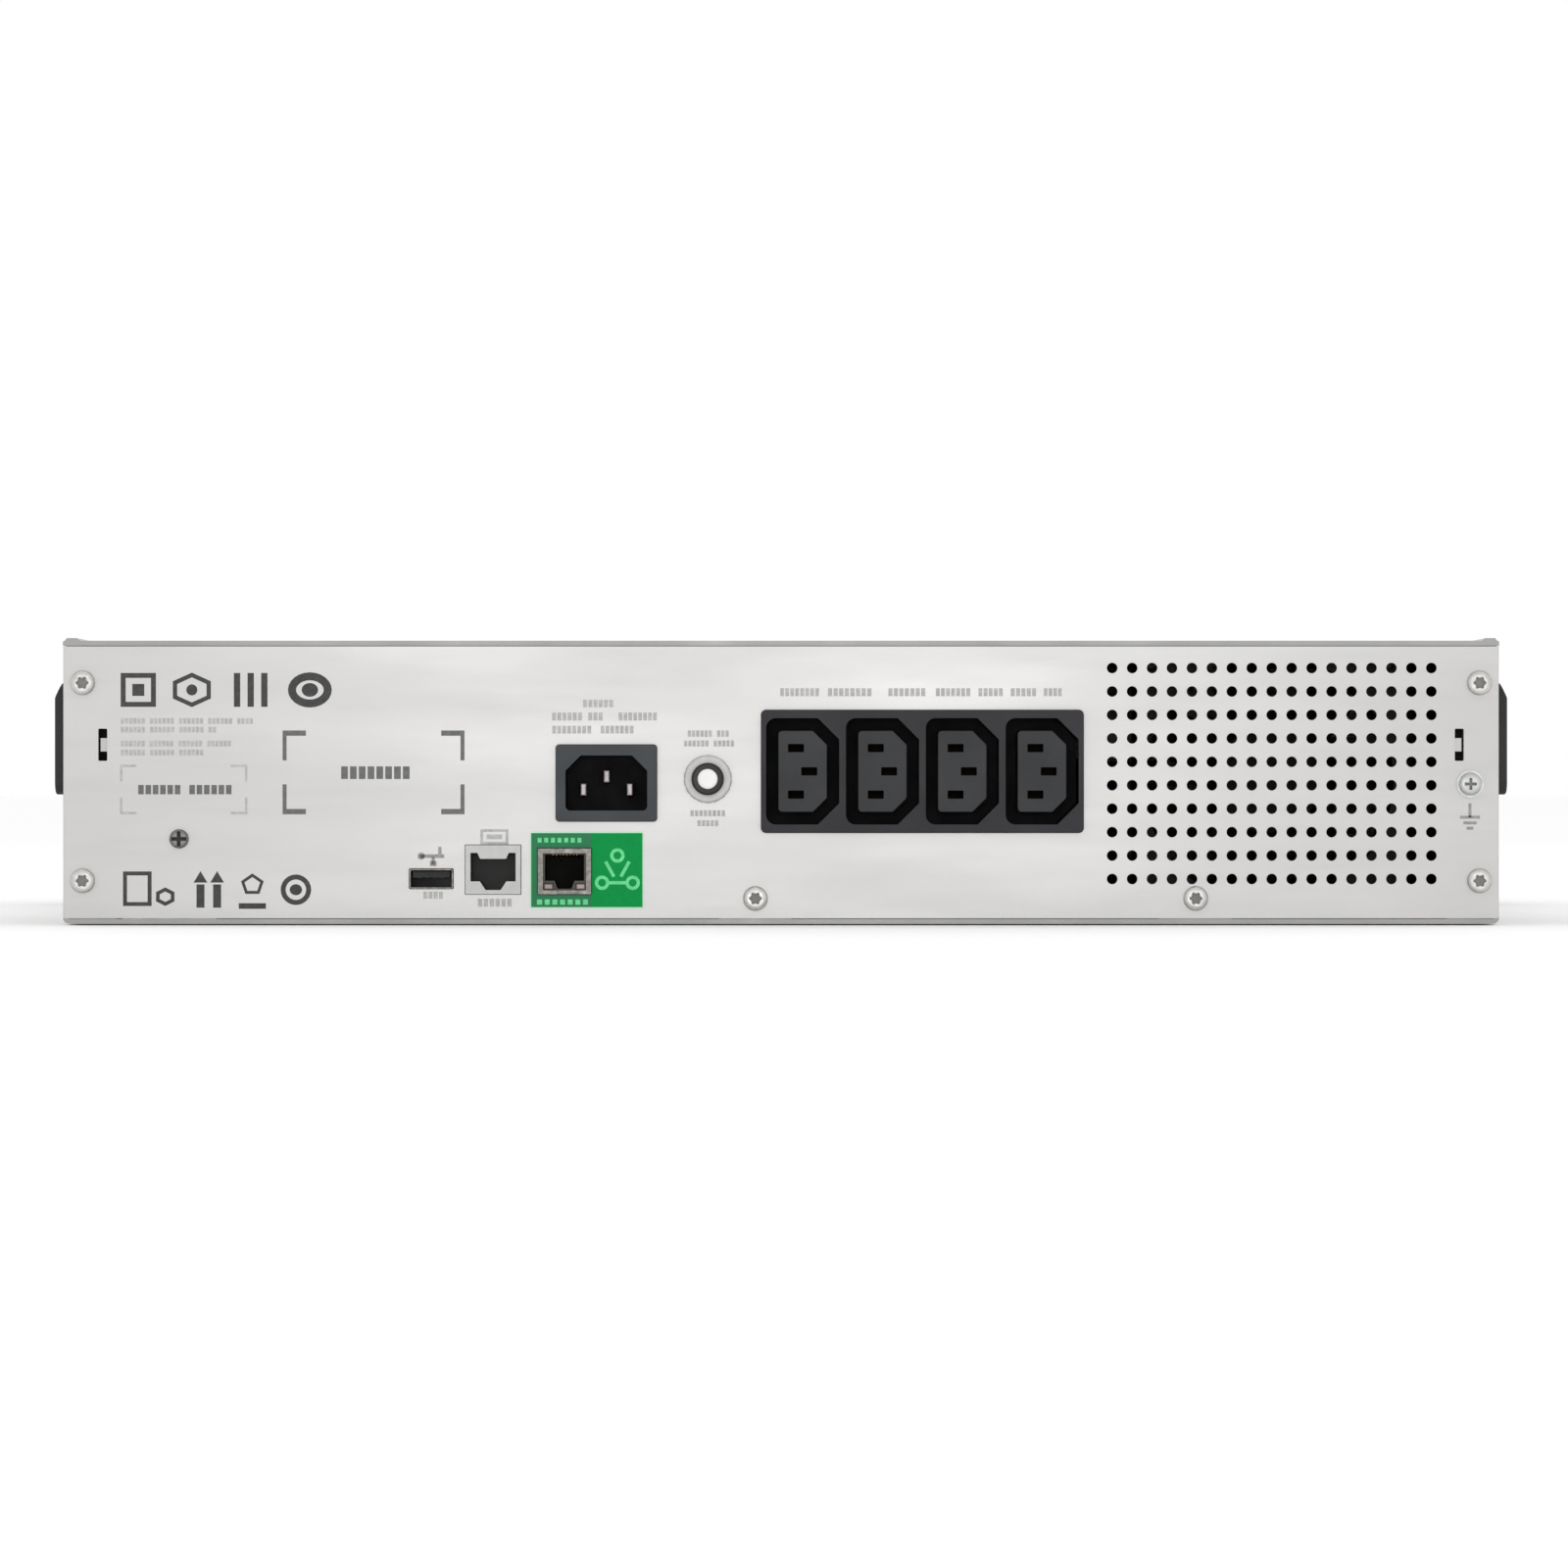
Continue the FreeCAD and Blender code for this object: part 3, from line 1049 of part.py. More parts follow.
NODES = {
    "chassis_base": chassis_base,
    "top_cover": top_cover,
    "cover_screws": cover_screws,
    "rear_panel": rear_panel,
    "rear_panel_screws": rear_panel_screws,
    "ground_screw": ground_screw,
    "left_side_grip": lambda: side_grip(-1),
    "right_side_grip": lambda: side_grip(1),
    "left_rack_ear": lambda: rack_ear(-1),
    "right_rack_ear": lambda: rack_ear(1),
    "ear_screws": ear_screws,
    "mains_inlet": mains_inlet,
    "inlet_pins": inlet_pins,
    "breaker_body": breaker_body,
    "breaker_nut": breaker_nut,
    "breaker_button": breaker_button,
    "outlet_block": outlet_block,
    "outlet_cores": outlet_cores,
    "outlet_contacts": outlet_contacts,
    "usb_shell": usb_shell,
    "usb_tongue": usb_tongue,
    "serial_jack": serial_jack,
    "network_jack": network_jack,
    "network_jack_insert": network_jack_insert,
    "jack_contacts": jack_contacts,
    "network_label": network_label,
    "comms_board": comms_board,
    "main_board": main_board,
    "board_standoffs": board_standoffs,
    "inner_screws": inner_screws,
    "heat_sinks": heat_sinks,
    "bulk_capacitors": bulk_capacitors,
    "relays": relays,
    "filter_choke": filter_choke,
    "transformer_core": transformer_core,
    "transformer_winding": transformer_winding,
    "transformer_clamp": transformer_clamp,
    "transformer_bolts": transformer_bolts,
    "fan_frame": fan_frame,
    "fan_rotor": fan_rotor,
    "fan_bracket": fan_bracket,
    "bay_wall": bay_wall,
    "battery_socket": battery_socket,
    "battery_plug": battery_plug,
    "battery_tray": battery_tray,
    "rear_battery": lambda: battery(0),
    "front_battery": lambda: battery(1),
    "battery_pull": battery_pull,
    "left_thumbscrew": lambda: thumbscrew(THUMBSCREW_X[0]),
    "right_thumbscrew": lambda: thumbscrew(THUMBSCREW_X[1]),
    "display_housing": display_housing,
    "display_window": display_window,
    "display_board": display_board,
    "power_button": power_button,
    "escape_button": lambda: menu_button(MENU_X[0], MENU_Z[0]),
    "up_button": lambda: menu_button(MENU_X[1], MENU_Z[0]),
    "enter_button": lambda: menu_button(MENU_X[0], MENU_Z[1]),
    "down_button": lambda: menu_button(MENU_X[1], MENU_Z[1]),
    "front_bezel": front_bezel,
}

os.makedirs("parts", exist_ok=True)
for name, make in NODES.items():
    shape = make()
    shape.exportStep(os.path.join("parts", name + ".step"))
    good = all(solid.isValid() and solid.Volume > 0 for solid in shape.Solids)
    print(name, len(shape.Solids), "solids", "valid" if good else "INVALID", round(shape.Volume))
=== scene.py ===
import math

import bpy
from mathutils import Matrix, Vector

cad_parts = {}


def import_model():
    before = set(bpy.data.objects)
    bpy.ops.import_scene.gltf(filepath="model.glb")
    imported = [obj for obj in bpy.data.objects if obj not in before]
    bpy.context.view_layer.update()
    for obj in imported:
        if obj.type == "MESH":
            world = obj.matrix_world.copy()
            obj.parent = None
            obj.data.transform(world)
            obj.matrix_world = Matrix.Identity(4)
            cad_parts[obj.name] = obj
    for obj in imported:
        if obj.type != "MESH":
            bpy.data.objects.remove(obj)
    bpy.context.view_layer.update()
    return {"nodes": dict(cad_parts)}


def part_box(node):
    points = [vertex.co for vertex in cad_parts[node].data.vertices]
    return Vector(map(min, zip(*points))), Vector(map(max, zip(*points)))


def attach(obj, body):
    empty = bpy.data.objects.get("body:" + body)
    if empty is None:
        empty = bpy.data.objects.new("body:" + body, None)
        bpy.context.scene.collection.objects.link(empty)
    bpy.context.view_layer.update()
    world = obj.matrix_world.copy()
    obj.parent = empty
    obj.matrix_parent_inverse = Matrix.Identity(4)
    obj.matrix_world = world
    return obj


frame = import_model()
scene = bpy.context.scene
MM = 0.001

# ---- Camera ----
# A long lens two metres from the rear panel, square to it and level with its middle. The lens is
# set by the width that the view covers at the panel.
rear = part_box("rear_panel")[0].y
CAMERA_DISTANCE = 2.0
CAMERA_SIDE = 0.9 * MM
CAMERA_HEIGHT = 42.1 * MM
FIELD_WIDTH = 471.6 * MM
SENSOR = 36.0

camera_data = bpy.data.cameras.new("camera")
camera_data.sensor_width = SENSOR
camera_data.lens = SENSOR * CAMERA_DISTANCE / FIELD_WIDTH
camera_data.clip_end = 50
camera = bpy.data.objects.new("camera", camera_data)
camera.location = (CAMERA_SIDE, rear - CAMERA_DISTANCE, CAMERA_HEIGHT)
camera.rotation_euler = (math.radians(90), 0, 0)
scene.collection.objects.link(camera)
scene.camera = camera


# ---- Studio ----
# A wide floor painted almost white, in even white light. A soft lamp behind the camera lights the
# panel, and one overhead gives the faint shadow under the case.
def pick_none():
    """Leaves nothing selected, so that an operator acts only on what is made next."""
    if bpy.context.object and bpy.context.object.mode != "OBJECT":
        bpy.ops.object.mode_set(mode="OBJECT")
    bpy.ops.object.select_all(action="DESELECT")


def new_finish(name, colour, roughness, metallic=0.0, specular=0.5, coat=0.0):
    """A node material with its even values set on the shader."""
    material = bpy.data.materials.new(name)
    material.use_nodes = True
    shader = material.node_tree.nodes["Principled BSDF"]
    shader.inputs["Base Color"].default_value = (*colour, 1)
    shader.inputs["Roughness"].default_value = roughness
    shader.inputs["Metallic"].default_value = metallic
    shader.inputs["Specular IOR Level"].default_value = specular
    shader.inputs["Coat Weight"].default_value = coat
    return material


def noise(material, scale, stretch=(1, 1, 1), detail=4.0):
    """Noise on the piece's own coordinates, from 0 to 1. Its scale is in marks per metre."""
    nodes = material.node_tree.nodes
    links = material.node_tree.links
    place = nodes.new("ShaderNodeTexCoord")
    mapping = nodes.new("ShaderNodeMapping")
    mapping.inputs["Scale"].default_value = stretch
    texture = nodes.new("ShaderNodeTexNoise")
    texture.inputs["Scale"].default_value = scale
    texture.inputs["Detail"].default_value = detail
    links.new(place.outputs["Object"], mapping.inputs["Vector"])
    links.new(mapping.outputs["Vector"], texture.inputs["Vector"])
    return texture.outputs["Fac"]


def blend_colour(material, mask, colour):
    """Lays a second colour over the first where the mask is 1."""
    nodes = material.node_tree.nodes
    links = material.node_tree.links
    target = nodes["Principled BSDF"].inputs["Base Color"]
    mix = nodes.new("ShaderNodeMix")
    mix.data_type = "RGBA"
    sockets = [s for s in mix.inputs if s.type == "RGBA"]
    if target.is_linked:
        links.new(target.links[0].from_socket, sockets[0])
    else:
        sockets[0].default_value = target.default_value
    sockets[1].default_value = (*colour, 1)
    links.new(mask, mix.inputs["Factor"])
    links.new([s for s in mix.outputs if s.type == "RGBA"][0], target)


def ramp(material, value, low, high, to_low=0.0, to_high=1.0):
    """Maps a value between two limits onto two others."""
    step = material.node_tree.nodes.new("ShaderNodeMapRange")
    step.inputs["From Min"].default_value = low
    step.inputs["From Max"].default_value = high
    step.inputs["To Min"].default_value = to_low
    step.inputs["To Max"].default_value = to_high
    material.node_tree.links.new(value, step.inputs["Value"])
    return step.outputs["Result"]


def mottle(material, scale, colour, stretch=(1, 1, 1), low=0.35, high=0.75):
    """Uneven tone: drifts towards a second colour."""
    blend_colour(material, ramp(material, noise(material, scale, stretch), low, high), colour)


def soft_lamp(name, place, aim, width, height, power):
    """A rectangular lamp that points at a spot."""
    data = bpy.data.lights.new(name, "AREA")
    data.shape = "RECTANGLE"
    data.size = width
    data.size_y = height
    data.energy = power
    lamp = bpy.data.objects.new(name, data)
    lamp.location = place
    lamp.rotation_euler = (Vector(aim) - Vector(place)).to_track_quat("-Z", "Y").to_euler()
    scene.collection.objects.link(lamp)


FLOOR_SIZE = 40.0
FLOOR_DROP = 0.4 * MM
pick_none()
bpy.ops.mesh.primitive_plane_add(size=FLOOR_SIZE, location=(0, 0, -FLOOR_DROP))
floor = bpy.context.object
floor.name = "studio_floor"
floor_paint = new_finish("floor_paint", (0.975, 0.975, 0.975), 0.9, specular=0.1)
mottle(floor_paint, 3, (0.97, 0.97, 0.97))
floor.data.materials.append(floor_paint)

soft_lamp("key", (0.0, rear - 2.3, 0.15), (0, rear, 0.04), 0.6, 0.24, 3.0)
soft_lamp("top", (0.0, 0.3, 2.2), (0, 0, 0), 1.6, 1.2, 4)

world = bpy.data.worlds.new("studio")
world.use_nodes = True
world.node_tree.nodes["Background"].inputs["Color"].default_value = (1, 1, 1, 1)
world.node_tree.nodes["Background"].inputs["Strength"].default_value = 1.0
scene.world = world
scene.view_settings.view_transform = "Standard"


# ---- Sheet metal ----
# Base, cover and rear panel are rolled steel with a thin satin zinc coat. The grain runs along
# the sheet, and the rear edges of base and cover are painted darker than the faces, as painted shade.
def uneven_gloss(material, scale, smooth, dull, stretch=(1, 1, 1)):
    """Gloss that changes a little over the surface."""
    value = ramp(material, noise(material, scale, stretch), 0.3, 0.7, smooth, dull)
    material.node_tree.links.new(value, material.node_tree.nodes["Principled BSDF"].inputs["Roughness"])


def grain(material, scale, depth, stretch=(1, 1, 1), detail=4.0):
    """Fine relief, its depth in millimetres. A second call adds a second relief on top."""
    nodes = material.node_tree.nodes
    links = material.node_tree.links
    normal = nodes["Principled BSDF"].inputs["Normal"]
    bump = nodes.new("ShaderNodeBump")
    bump.inputs["Distance"].default_value = depth * MM
    bump.inputs["Strength"].default_value = 0.7
    if normal.is_linked:
        links.new(normal.links[0].from_socket, bump.inputs["Normal"])
    links.new(noise(material, scale, stretch, detail), bump.inputs["Height"])
    links.new(bump.outputs["Normal"], normal)


def coordinate(material, axis):
    """One of the piece's own coordinates, in metres."""
    nodes = material.node_tree.nodes
    where = nodes.new("ShaderNodeTexCoord")
    split = nodes.new("ShaderNodeSeparateXYZ")
    material.node_tree.links.new(where.outputs["Object"], split.inputs["Vector"])
    return split.outputs[axis]


def before(material, axis, place, soft=0.1 * MM):
    """1 where the piece's own coordinate is less than a place, and 0 past it."""
    return ramp(material, coordinate(material, axis), place - soft, place + soft, 1.0, 0.0)


def dress(material, *nodes):
    """Gives CAD nodes their finish."""
    for node in nodes:
        for place in frame["nodes"][node].material_slots:
            place.material = material


steel = new_finish("satin_steel_sheet", (0.515, 0.509, 0.502), 0.34, metallic=0.6)
mottle(steel, 9, (0.495, 0.489, 0.482))
mottle(steel, 260, (0.48, 0.474, 0.467), stretch=(0.12, 1, 1), low=0.45, high=0.95)
uneven_gloss(steel, 40, 0.3, 0.38, stretch=(0.2, 1, 1))
grain(steel, 3500, 0.006, stretch=(0.04, 1, 1))
grain(steel, 45, 0.02)
dress(steel, "rear_panel")

EDGE_DEPTH = 0.3 * MM
folded_steel = new_finish("folded_steel_sheet", (0.52, 0.515, 0.507), 0.36, metallic=0.6)
mottle(folded_steel, 9, (0.485, 0.48, 0.472))
mottle(folded_steel, 260, (0.46, 0.455, 0.447), stretch=(1, 0.12, 1), low=0.45, high=0.95)
uneven_gloss(folded_steel, 40, 0.36, 0.52, stretch=(1, 0.2, 1))
grain(folded_steel, 3500, 0.006, stretch=(1, 0.04, 1))
grain(folded_steel, 30, 0.03)
# Painted shade: base and cover are darkened within EDGE_DEPTH of their rear edges.
blend_colour(folded_steel, before(folded_steel, "Y", rear + EDGE_DEPTH), (0.335, 0.335, 0.33))
dress(folded_steel, "chassis_base", "top_cover")

# ---- Fasteners ----
# Steel screws: nickel-plated on the rear panel and on the tray, blackened inside the case, and
# zinc-plated elsewhere, as the earthing screw and the brackets are. The small screw that holds the
# transformer's clamp to the panel is dark.
CLAMP_SCREW = (-181.0, 25.6)
CLAMP_SCREW_REACH = 6 * MM


def near(material, centre, radius, soft=0.1 * MM):
    """1 within a radius of a point in the piece's own coordinates, and 0 outside."""
    nodes = material.node_tree.nodes
    where = nodes.new("ShaderNodeTexCoord")
    distance = nodes.new("ShaderNodeVectorMath")
    distance.operation = "DISTANCE"
    distance.inputs[1].default_value = centre
    material.node_tree.links.new(where.outputs["Object"], distance.inputs[0])
    return ramp(material, distance.outputs["Value"], radius - soft, radius + soft, 1.0, 0.0)


nickel = new_finish("nickel_plate", (0.63, 0.62, 0.60), 0.34, metallic=1.0)
uneven_gloss(nickel, 900, 0.28, 0.46)
grain(nickel, 5000, 0.004)
mottle(nickel, 700, (0.5, 0.49, 0.47))
clamp_screw_head = (CLAMP_SCREW[0] * MM, rear, CLAMP_SCREW[1] * MM)
blend_colour(nickel, near(nickel, clamp_screw_head, CLAMP_SCREW_REACH), (0.20, 0.195, 0.19))
dress(nickel, "rear_panel_screws", "left_thumbscrew", "right_thumbscrew")

zinc = new_finish("zinc_plate", (0.56, 0.565, 0.56), 0.36, metallic=0.9)
mottle(zinc, 300, (0.44, 0.45, 0.45), low=0.4, high=0.8)
uneven_gloss(zinc, 500, 0.28, 0.48)
grain(zinc, 2500, 0.006)
dress(zinc, "ground_screw", "cover_screws", "ear_screws", "transformer_bolts", "bay_wall", "battery_tray",
      "transformer_clamp")

black_oxide = new_finish("black_oxide", (0.022, 0.022, 0.024), 0.4, metallic=0.7)
mottle(black_oxide, 600, (0.035, 0.033, 0.032))
uneven_gloss(black_oxide, 500, 0.32, 0.5)
grain(black_oxide, 2500, 0.006)
dress(black_oxide, "inner_screws")


# ---- Mains inlet ----
# A dark grey moulding with a flange that lies on the panel, painted near black down in its cavity as
# painted shade. Its three pins are nickel-plated brass, coloured darker than bare nickel as painted shade of
# the cavity.
def beyond(material, axis, place, soft=0.1 * MM):
    """1 where the piece's own coordinate is greater than a place, and 0 before it."""
    return ramp(material, coordinate(material, axis), place - soft, place + soft)


def moulding(name, colour, roughness, texture=0.012, specular=0.35):
    """A moulded plastic with a fine even texture and slight changes of tone and gloss."""
    plastic = new_finish(name, colour, roughness, specular=specular)
    lighter = tuple(min(1.0, c * 1.25 + 0.004) for c in colour)
    mottle(plastic, 60, lighter)
    uneven_gloss(plastic, 120, roughness - 0.06, roughness + 0.08)
    grain(plastic, 2200, texture)
    return plastic


CAVITY_MOUTH = rear + 0.6 * MM
MOUTH_SHADE = 0.4 * MM
inlet_plastic = moulding("inlet_plastic", (0.055, 0.060, 0.065), 0.5, specular=0.12)
# Painted shade: the moulding turns near black past the cavity's mouth.
blend_colour(inlet_plastic, beyond(inlet_plastic, "Y", CAVITY_MOUTH, MOUTH_SHADE), (0.006, 0.005, 0.006))
dress(inlet_plastic, "mains_inlet")
# The pins' dark colour is painted shade of the cavity.
pin_nickel = new_finish("pin_nickel_painted_shade", (0.33, 0.30, 0.30), 0.32, metallic=1.0)
mottle(pin_nickel, 900, (0.22, 0.20, 0.20))
grain(pin_nickel, 4000, 0.004)
dress(pin_nickel, "inlet_pins")

# ---- Outlets ----
# One dark frame moulded for four outlets, with a paler core in each, painted darker down in its cavities as
# painted shade. The spring contacts behind the slots are bronze, coloured almost black as painted shade of
# the slots, seen only as a dark gleam.
outlet_plastic = moulding("outlet_plastic", (0.035, 0.034, 0.037), 0.55, specular=0.12)
# Painted shade: the frame turns darker past the cavities' mouths.
blend_colour(outlet_plastic, beyond(outlet_plastic, "Y", CAVITY_MOUTH, MOUTH_SHADE), (0.011, 0.011, 0.0125))
dress(outlet_plastic, "outlet_block")
core_plastic = moulding("outlet_core_plastic", (0.044, 0.045, 0.048), 0.55, specular=0.12)
dress(core_plastic, "outlet_cores")
# Painted shade: the bronze is coloured almost black, for the shade of the slots.
bronze = new_finish("contact_bronze_painted_shade", (0.008, 0.007, 0.005), 0.5, metallic=1.0)
mottle(bronze, 500, (0.012, 0.010, 0.007))
grain(bronze, 3000, 0.004)
dress(bronze, "outlet_contacts")

# ---- Data ports ----
# The USB shell and the network jack's shield are folded tin-plated steel over dark inserts; the network
# insert is painted near black deep inside as painted shade. The serial jack is a light grey moulding, painted
# dark inside as painted shade. The wires in both jacks are gold-plated.
tin = new_finish("tin_plate", (0.235, 0.22, 0.205), 0.36, metallic=1.0)
mottle(tin, 500, (0.14, 0.13, 0.12))
uneven_gloss(tin, 700, 0.25, 0.48)
grain(tin, 3000, 0.006)
dress(tin, "usb_shell", "network_jack")
tongue_plastic = moulding("tongue_plastic", (0.012, 0.012, 0.013), 0.45, texture=0.006)
dress(tongue_plastic, "usb_tongue")
insert_plastic = moulding("jack_insert_plastic", (0.075, 0.070, 0.062), 0.55, texture=0.006, specular=0.1)
# Painted shade: the insert turns near black past its front.
blend_colour(insert_plastic, beyond(insert_plastic, "Y", rear + 0.3 * MM, 0.3 * MM), (0.004, 0.004, 0.003))
dress(insert_plastic, "network_jack_insert")
jack_grey = new_finish("serial_jack_plastic", (0.58, 0.58, 0.575), 0.45, specular=0.25)
mottle(jack_grey, 300, (0.52, 0.52, 0.515))
grain(jack_grey, 2500, 0.008)
# Painted shade: the grey moulding turns dark past its mouth.
blend_colour(jack_grey, beyond(jack_grey, "Y", rear + 1.7 * MM, 0.3 * MM), (0.056, 0.060, 0.055))
dress(jack_grey, "serial_jack")
gold = new_finish("gold_plate", (0.83, 0.60, 0.25), 0.25, metallic=1.0)
uneven_gloss(gold, 800, 0.18, 0.35)
grain(gold, 4000, 0.003)
dress(gold, "jack_contacts")

# ---- Network label ----
# A thin plate round the network jack, printed green with a duller field round the jack itself and a
# pale rim. It is stuck to the panel.
label_low, label_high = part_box("network_label")
LABEL_RIM = 0.35 * MM
LABEL_SPLIT = -56.9 * MM
PALE_GREEN = (0.52, 0.84, 0.60)
label_ink = new_finish("label_green", (0.003, 0.275, 0.058), 0.6, specular=0.1)
mottle(label_ink, 600, (0.004, 0.300, 0.066))
blend_colour(label_ink, before(label_ink, "X", LABEL_SPLIT), (0.035, 0.20, 0.09))
for axis, low, high in (("X", label_low.x, label_high.x), ("Z", label_low.z, label_high.z)):
    blend_colour(label_ink, before(label_ink, axis, low + LABEL_RIM), PALE_GREEN)
    blend_colour(label_ink, beyond(label_ink, axis, high - LABEL_RIM), PALE_GREEN)
grain(label_ink, 2600, 0.004)
dress(label_ink, "network_label")


# ---- Printing on the rear panel ----
# Screen-printed marks, raised by the thickness of the ink. Words are rows of blank blocks, and
# each mark is a plain geometric sign. Places and sizes are in millimetres on the panel.
def start_print(name):
    """Opens an empty mesh that the next stamps go into."""
    pick_none()
    bpy.ops.mesh.primitive_plane_add(size=1)
    piece = bpy.context.object
    piece.name = name
    bpy.ops.object.mode_set(mode="EDIT")
    bpy.ops.mesh.select_all(action="SELECT")
    bpy.ops.mesh.delete(type="VERT")
    return piece


def stamp(x, z, width, height, hollow=0.0, corners=4, spin=0.0, face=None):
    """One flat shape in millimetres, facing the rear: a rectangle, a polygon or a disc, or its outline."""
    turn = (math.radians(90), math.radians(spin), 0)
    place = (x * MM, rear if face is None else face, z * MM)
    if corners == 4:
        bpy.ops.mesh.primitive_plane_add(size=1, location=place, rotation=(turn[0], 0, 0))
    else:
        bpy.ops.mesh.primitive_circle_add(
            vertices=corners, radius=0.5, fill_type="NGON", location=place, rotation=turn)
    bpy.ops.transform.resize(value=(width * MM, 1, height * MM), center_override=place)
    if corners == 4 and spin:
        bpy.ops.transform.rotate(value=math.radians(spin), orient_axis="Y", center_override=place)
    if hollow:
        bpy.ops.mesh.inset(thickness=hollow * MM)
        bpy.ops.mesh.delete(type="FACE")


def finish_print(piece, thickness, material, body="enclosure", way=-1):
    """Gives the ink its thickness, and fixes the print to its body."""
    bpy.ops.mesh.select_all(action="SELECT")
    bpy.ops.mesh.extrude_region_move(TRANSFORM_OT_translate={"value": (0, way * thickness * MM, 0)})
    bpy.ops.mesh.select_all(action="SELECT")
    bpy.ops.mesh.normals_make_consistent(inside=False)
    bpy.ops.object.mode_set(mode="OBJECT")
    piece.data.materials.append(material)
    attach(piece, body)


def ink(name, colour):
    """Matt screen ink, a little thinner in places."""
    finish = new_finish(name, colour, 0.6, specular=0.3)
    mottle(finish, 900, tuple(min(1.0, c * 1.3 + 0.01) for c in colour))
    grain(finish, 4000, 0.004)
    return finish


def words(x0, x1, z0, z1, letter=1.5):
    """A line of equal blank blocks, with a gap after every sixth as between words."""
    count = max(2, round((x1 - x0) / letter))
    pitch = (x1 - x0) / count
    for i in range(count):
        if i % 7 == 6 and count > 9:
            continue
        stamp(x0 + (i + 0.5) * pitch, (z0 + z1) / 2, pitch * 0.76, z1 - z0)


def corner_marks(x0, x1, z0, z1, across, down, line_x, line_z):
    """The four corners of a frame for a sticker."""
    for x, side in ((x0, 1), (x1, -1)):
        for z, up in ((z0, 1), (z1, -1)):
            stamp(x + side * across / 2, z + up * line_z / 2, across, line_z)
            stamp(x + side * line_x / 2, z + up * (line_z + (down - line_z) / 2), line_x, down - line_z)


INK_THICKNESS = 0.04
TOP_ROW = 70.4

panel_marks = start_print("panel_marks")
stamp(-193.3, TOP_ROW, 10.6, 10.2, hollow=1.5)
stamp(-193.3, TOP_ROW, 3.6, 3.6)
stamp(-177.2, TOP_ROW, 13.2, 10.4, hollow=1.3, corners=6)
stamp(-177.2, TOP_ROW, 3.4, 3.4, corners=12)
for i in range(3):
    stamp(-163.6 + i * 4.1, TOP_ROW, 1.9, 10.2)
stamp(-141.7, TOP_ROW, 13.2, 10.6, hollow=2.4, corners=24)
stamp(-141.7, TOP_ROW, 5.0, 4.2, corners=16)
stamp(-193.6, 10.6, 8.6, 10.4, hollow=1.2)
stamp(-185.2, 8.2, 6.4, 5.6, hollow=1.1, corners=6)
for x in (-174.6, -169.6):
    stamp(x, 13.6, 4.8, 4.6, corners=3)
    stamp(x, 8.4, 2.4, 7.0)
stamp(-159.0, 11.8, 7.2, 6.8, hollow=0.9, corners=5)
stamp(-159.0, 5.4, 8.2, 1.7)
stamp(-145.9, 10.3, 9.2, 9.2, hollow=1.5, corners=24)
stamp(-145.9, 10.3, 3.8, 3.4, corners=12)
finish_print(panel_marks, INK_THICKNESS, ink("mark_ink", (0.045, 0.045, 0.045)))

panel_frames = start_print("panel_frames")
corner_marks(-149.9, -95.2, 33.0, 58.2, 7.0, 9.0, 1.2, 1.6)
words(-132.6, -111.4, 43.6, 47.4, letter=2.6)
words(-193.6, -165.0, 39.0, 41.8, letter=2.2)
finish_print(panel_frames, INK_THICKNESS, ink("frame_ink", (0.13, 0.13, 0.13)))

# The pale lines of words: a paragraph at the left, then by the ports, the inlet, the breaker and the
# outlets.
panel_words = start_print("panel_words")
corner_marks(-198.8, -160.5, 33.0, 47.9, 5.0, 5.0, 0.7, 0.7)
for z, end in ((60.2, -158.7), (57.6, -169.8), (53.4, -165.3), (50.7, -172.4)):
    words(-198.7, end, z, z + 1.7, letter=1.25)
words(-107.8, -101.5, 7.6, 9.7)
words(-91.4, -80.8, 5.2, 7.6, letter=1.7)
stamp(-86.2, 26.2, 8.4, 4.6, hollow=0.8)
stamp(-86.2, 26.2, 4.6, 1.4)
words(-59.7, -50.3, 65.2, 67.4, letter=1.7)
words(-69.0, -53.5, 61.2, 63.6)
words(-49.0, -37.2, 61.2, 63.6)
words(-69.0, -56.9, 57.3, 59.6)
words(-54.4, -44.2, 57.3, 59.6)
words(-28.2, -15.6, 56.3, 58.2, letter=1.3)
words(-29.3, -14.0, 53.4, 55.2, letter=1.3)
words(-27.4, -16.7, 32.4, 34.2, letter=1.4)
words(-25.3, -18.7, 29.4, 31.2, letter=1.4)
for start, end in (
        (-0.4, 11.6), (13.9, 27.4), (32.1, 43.6), (46.4, 57.1), (59.2, 66.9), (68.9, 76.9), (78.9, 84.6)):
    words(start, end, 68.5, 70.9, letter=1.6)
finish_print(panel_words, INK_THICKNESS, ink("word_ink", (0.40, 0.40, 0.395)))

# A trident of plain lines above the USB port, and three bars under a stem below the earthing screw.
EARTH_X = 207.2
panel_signs = start_print("panel_signs")
stamp(-105.0, 20.4, 7.4, 1.1)
stamp(-108.2, 20.4, 2.2, 2.2, corners=12)
stamp(-102.6, 21.9, 1.0, 2.6)
stamp(-104.6, 19.0, 1.0, 2.4)
stamp(-104.6, 18.2, 2.0, 1.6)
stamp(EARTH_X, 34.2, 0.9, 4.2)
stamp(EARTH_X, 32.1, 6.0, 0.9)
stamp(EARTH_X, 30.4, 4.0, 0.9)
stamp(EARTH_X, 28.8, 2.0, 0.9)
finish_print(panel_signs, INK_THICKNESS, ink("sign_ink", (0.27, 0.27, 0.265)))

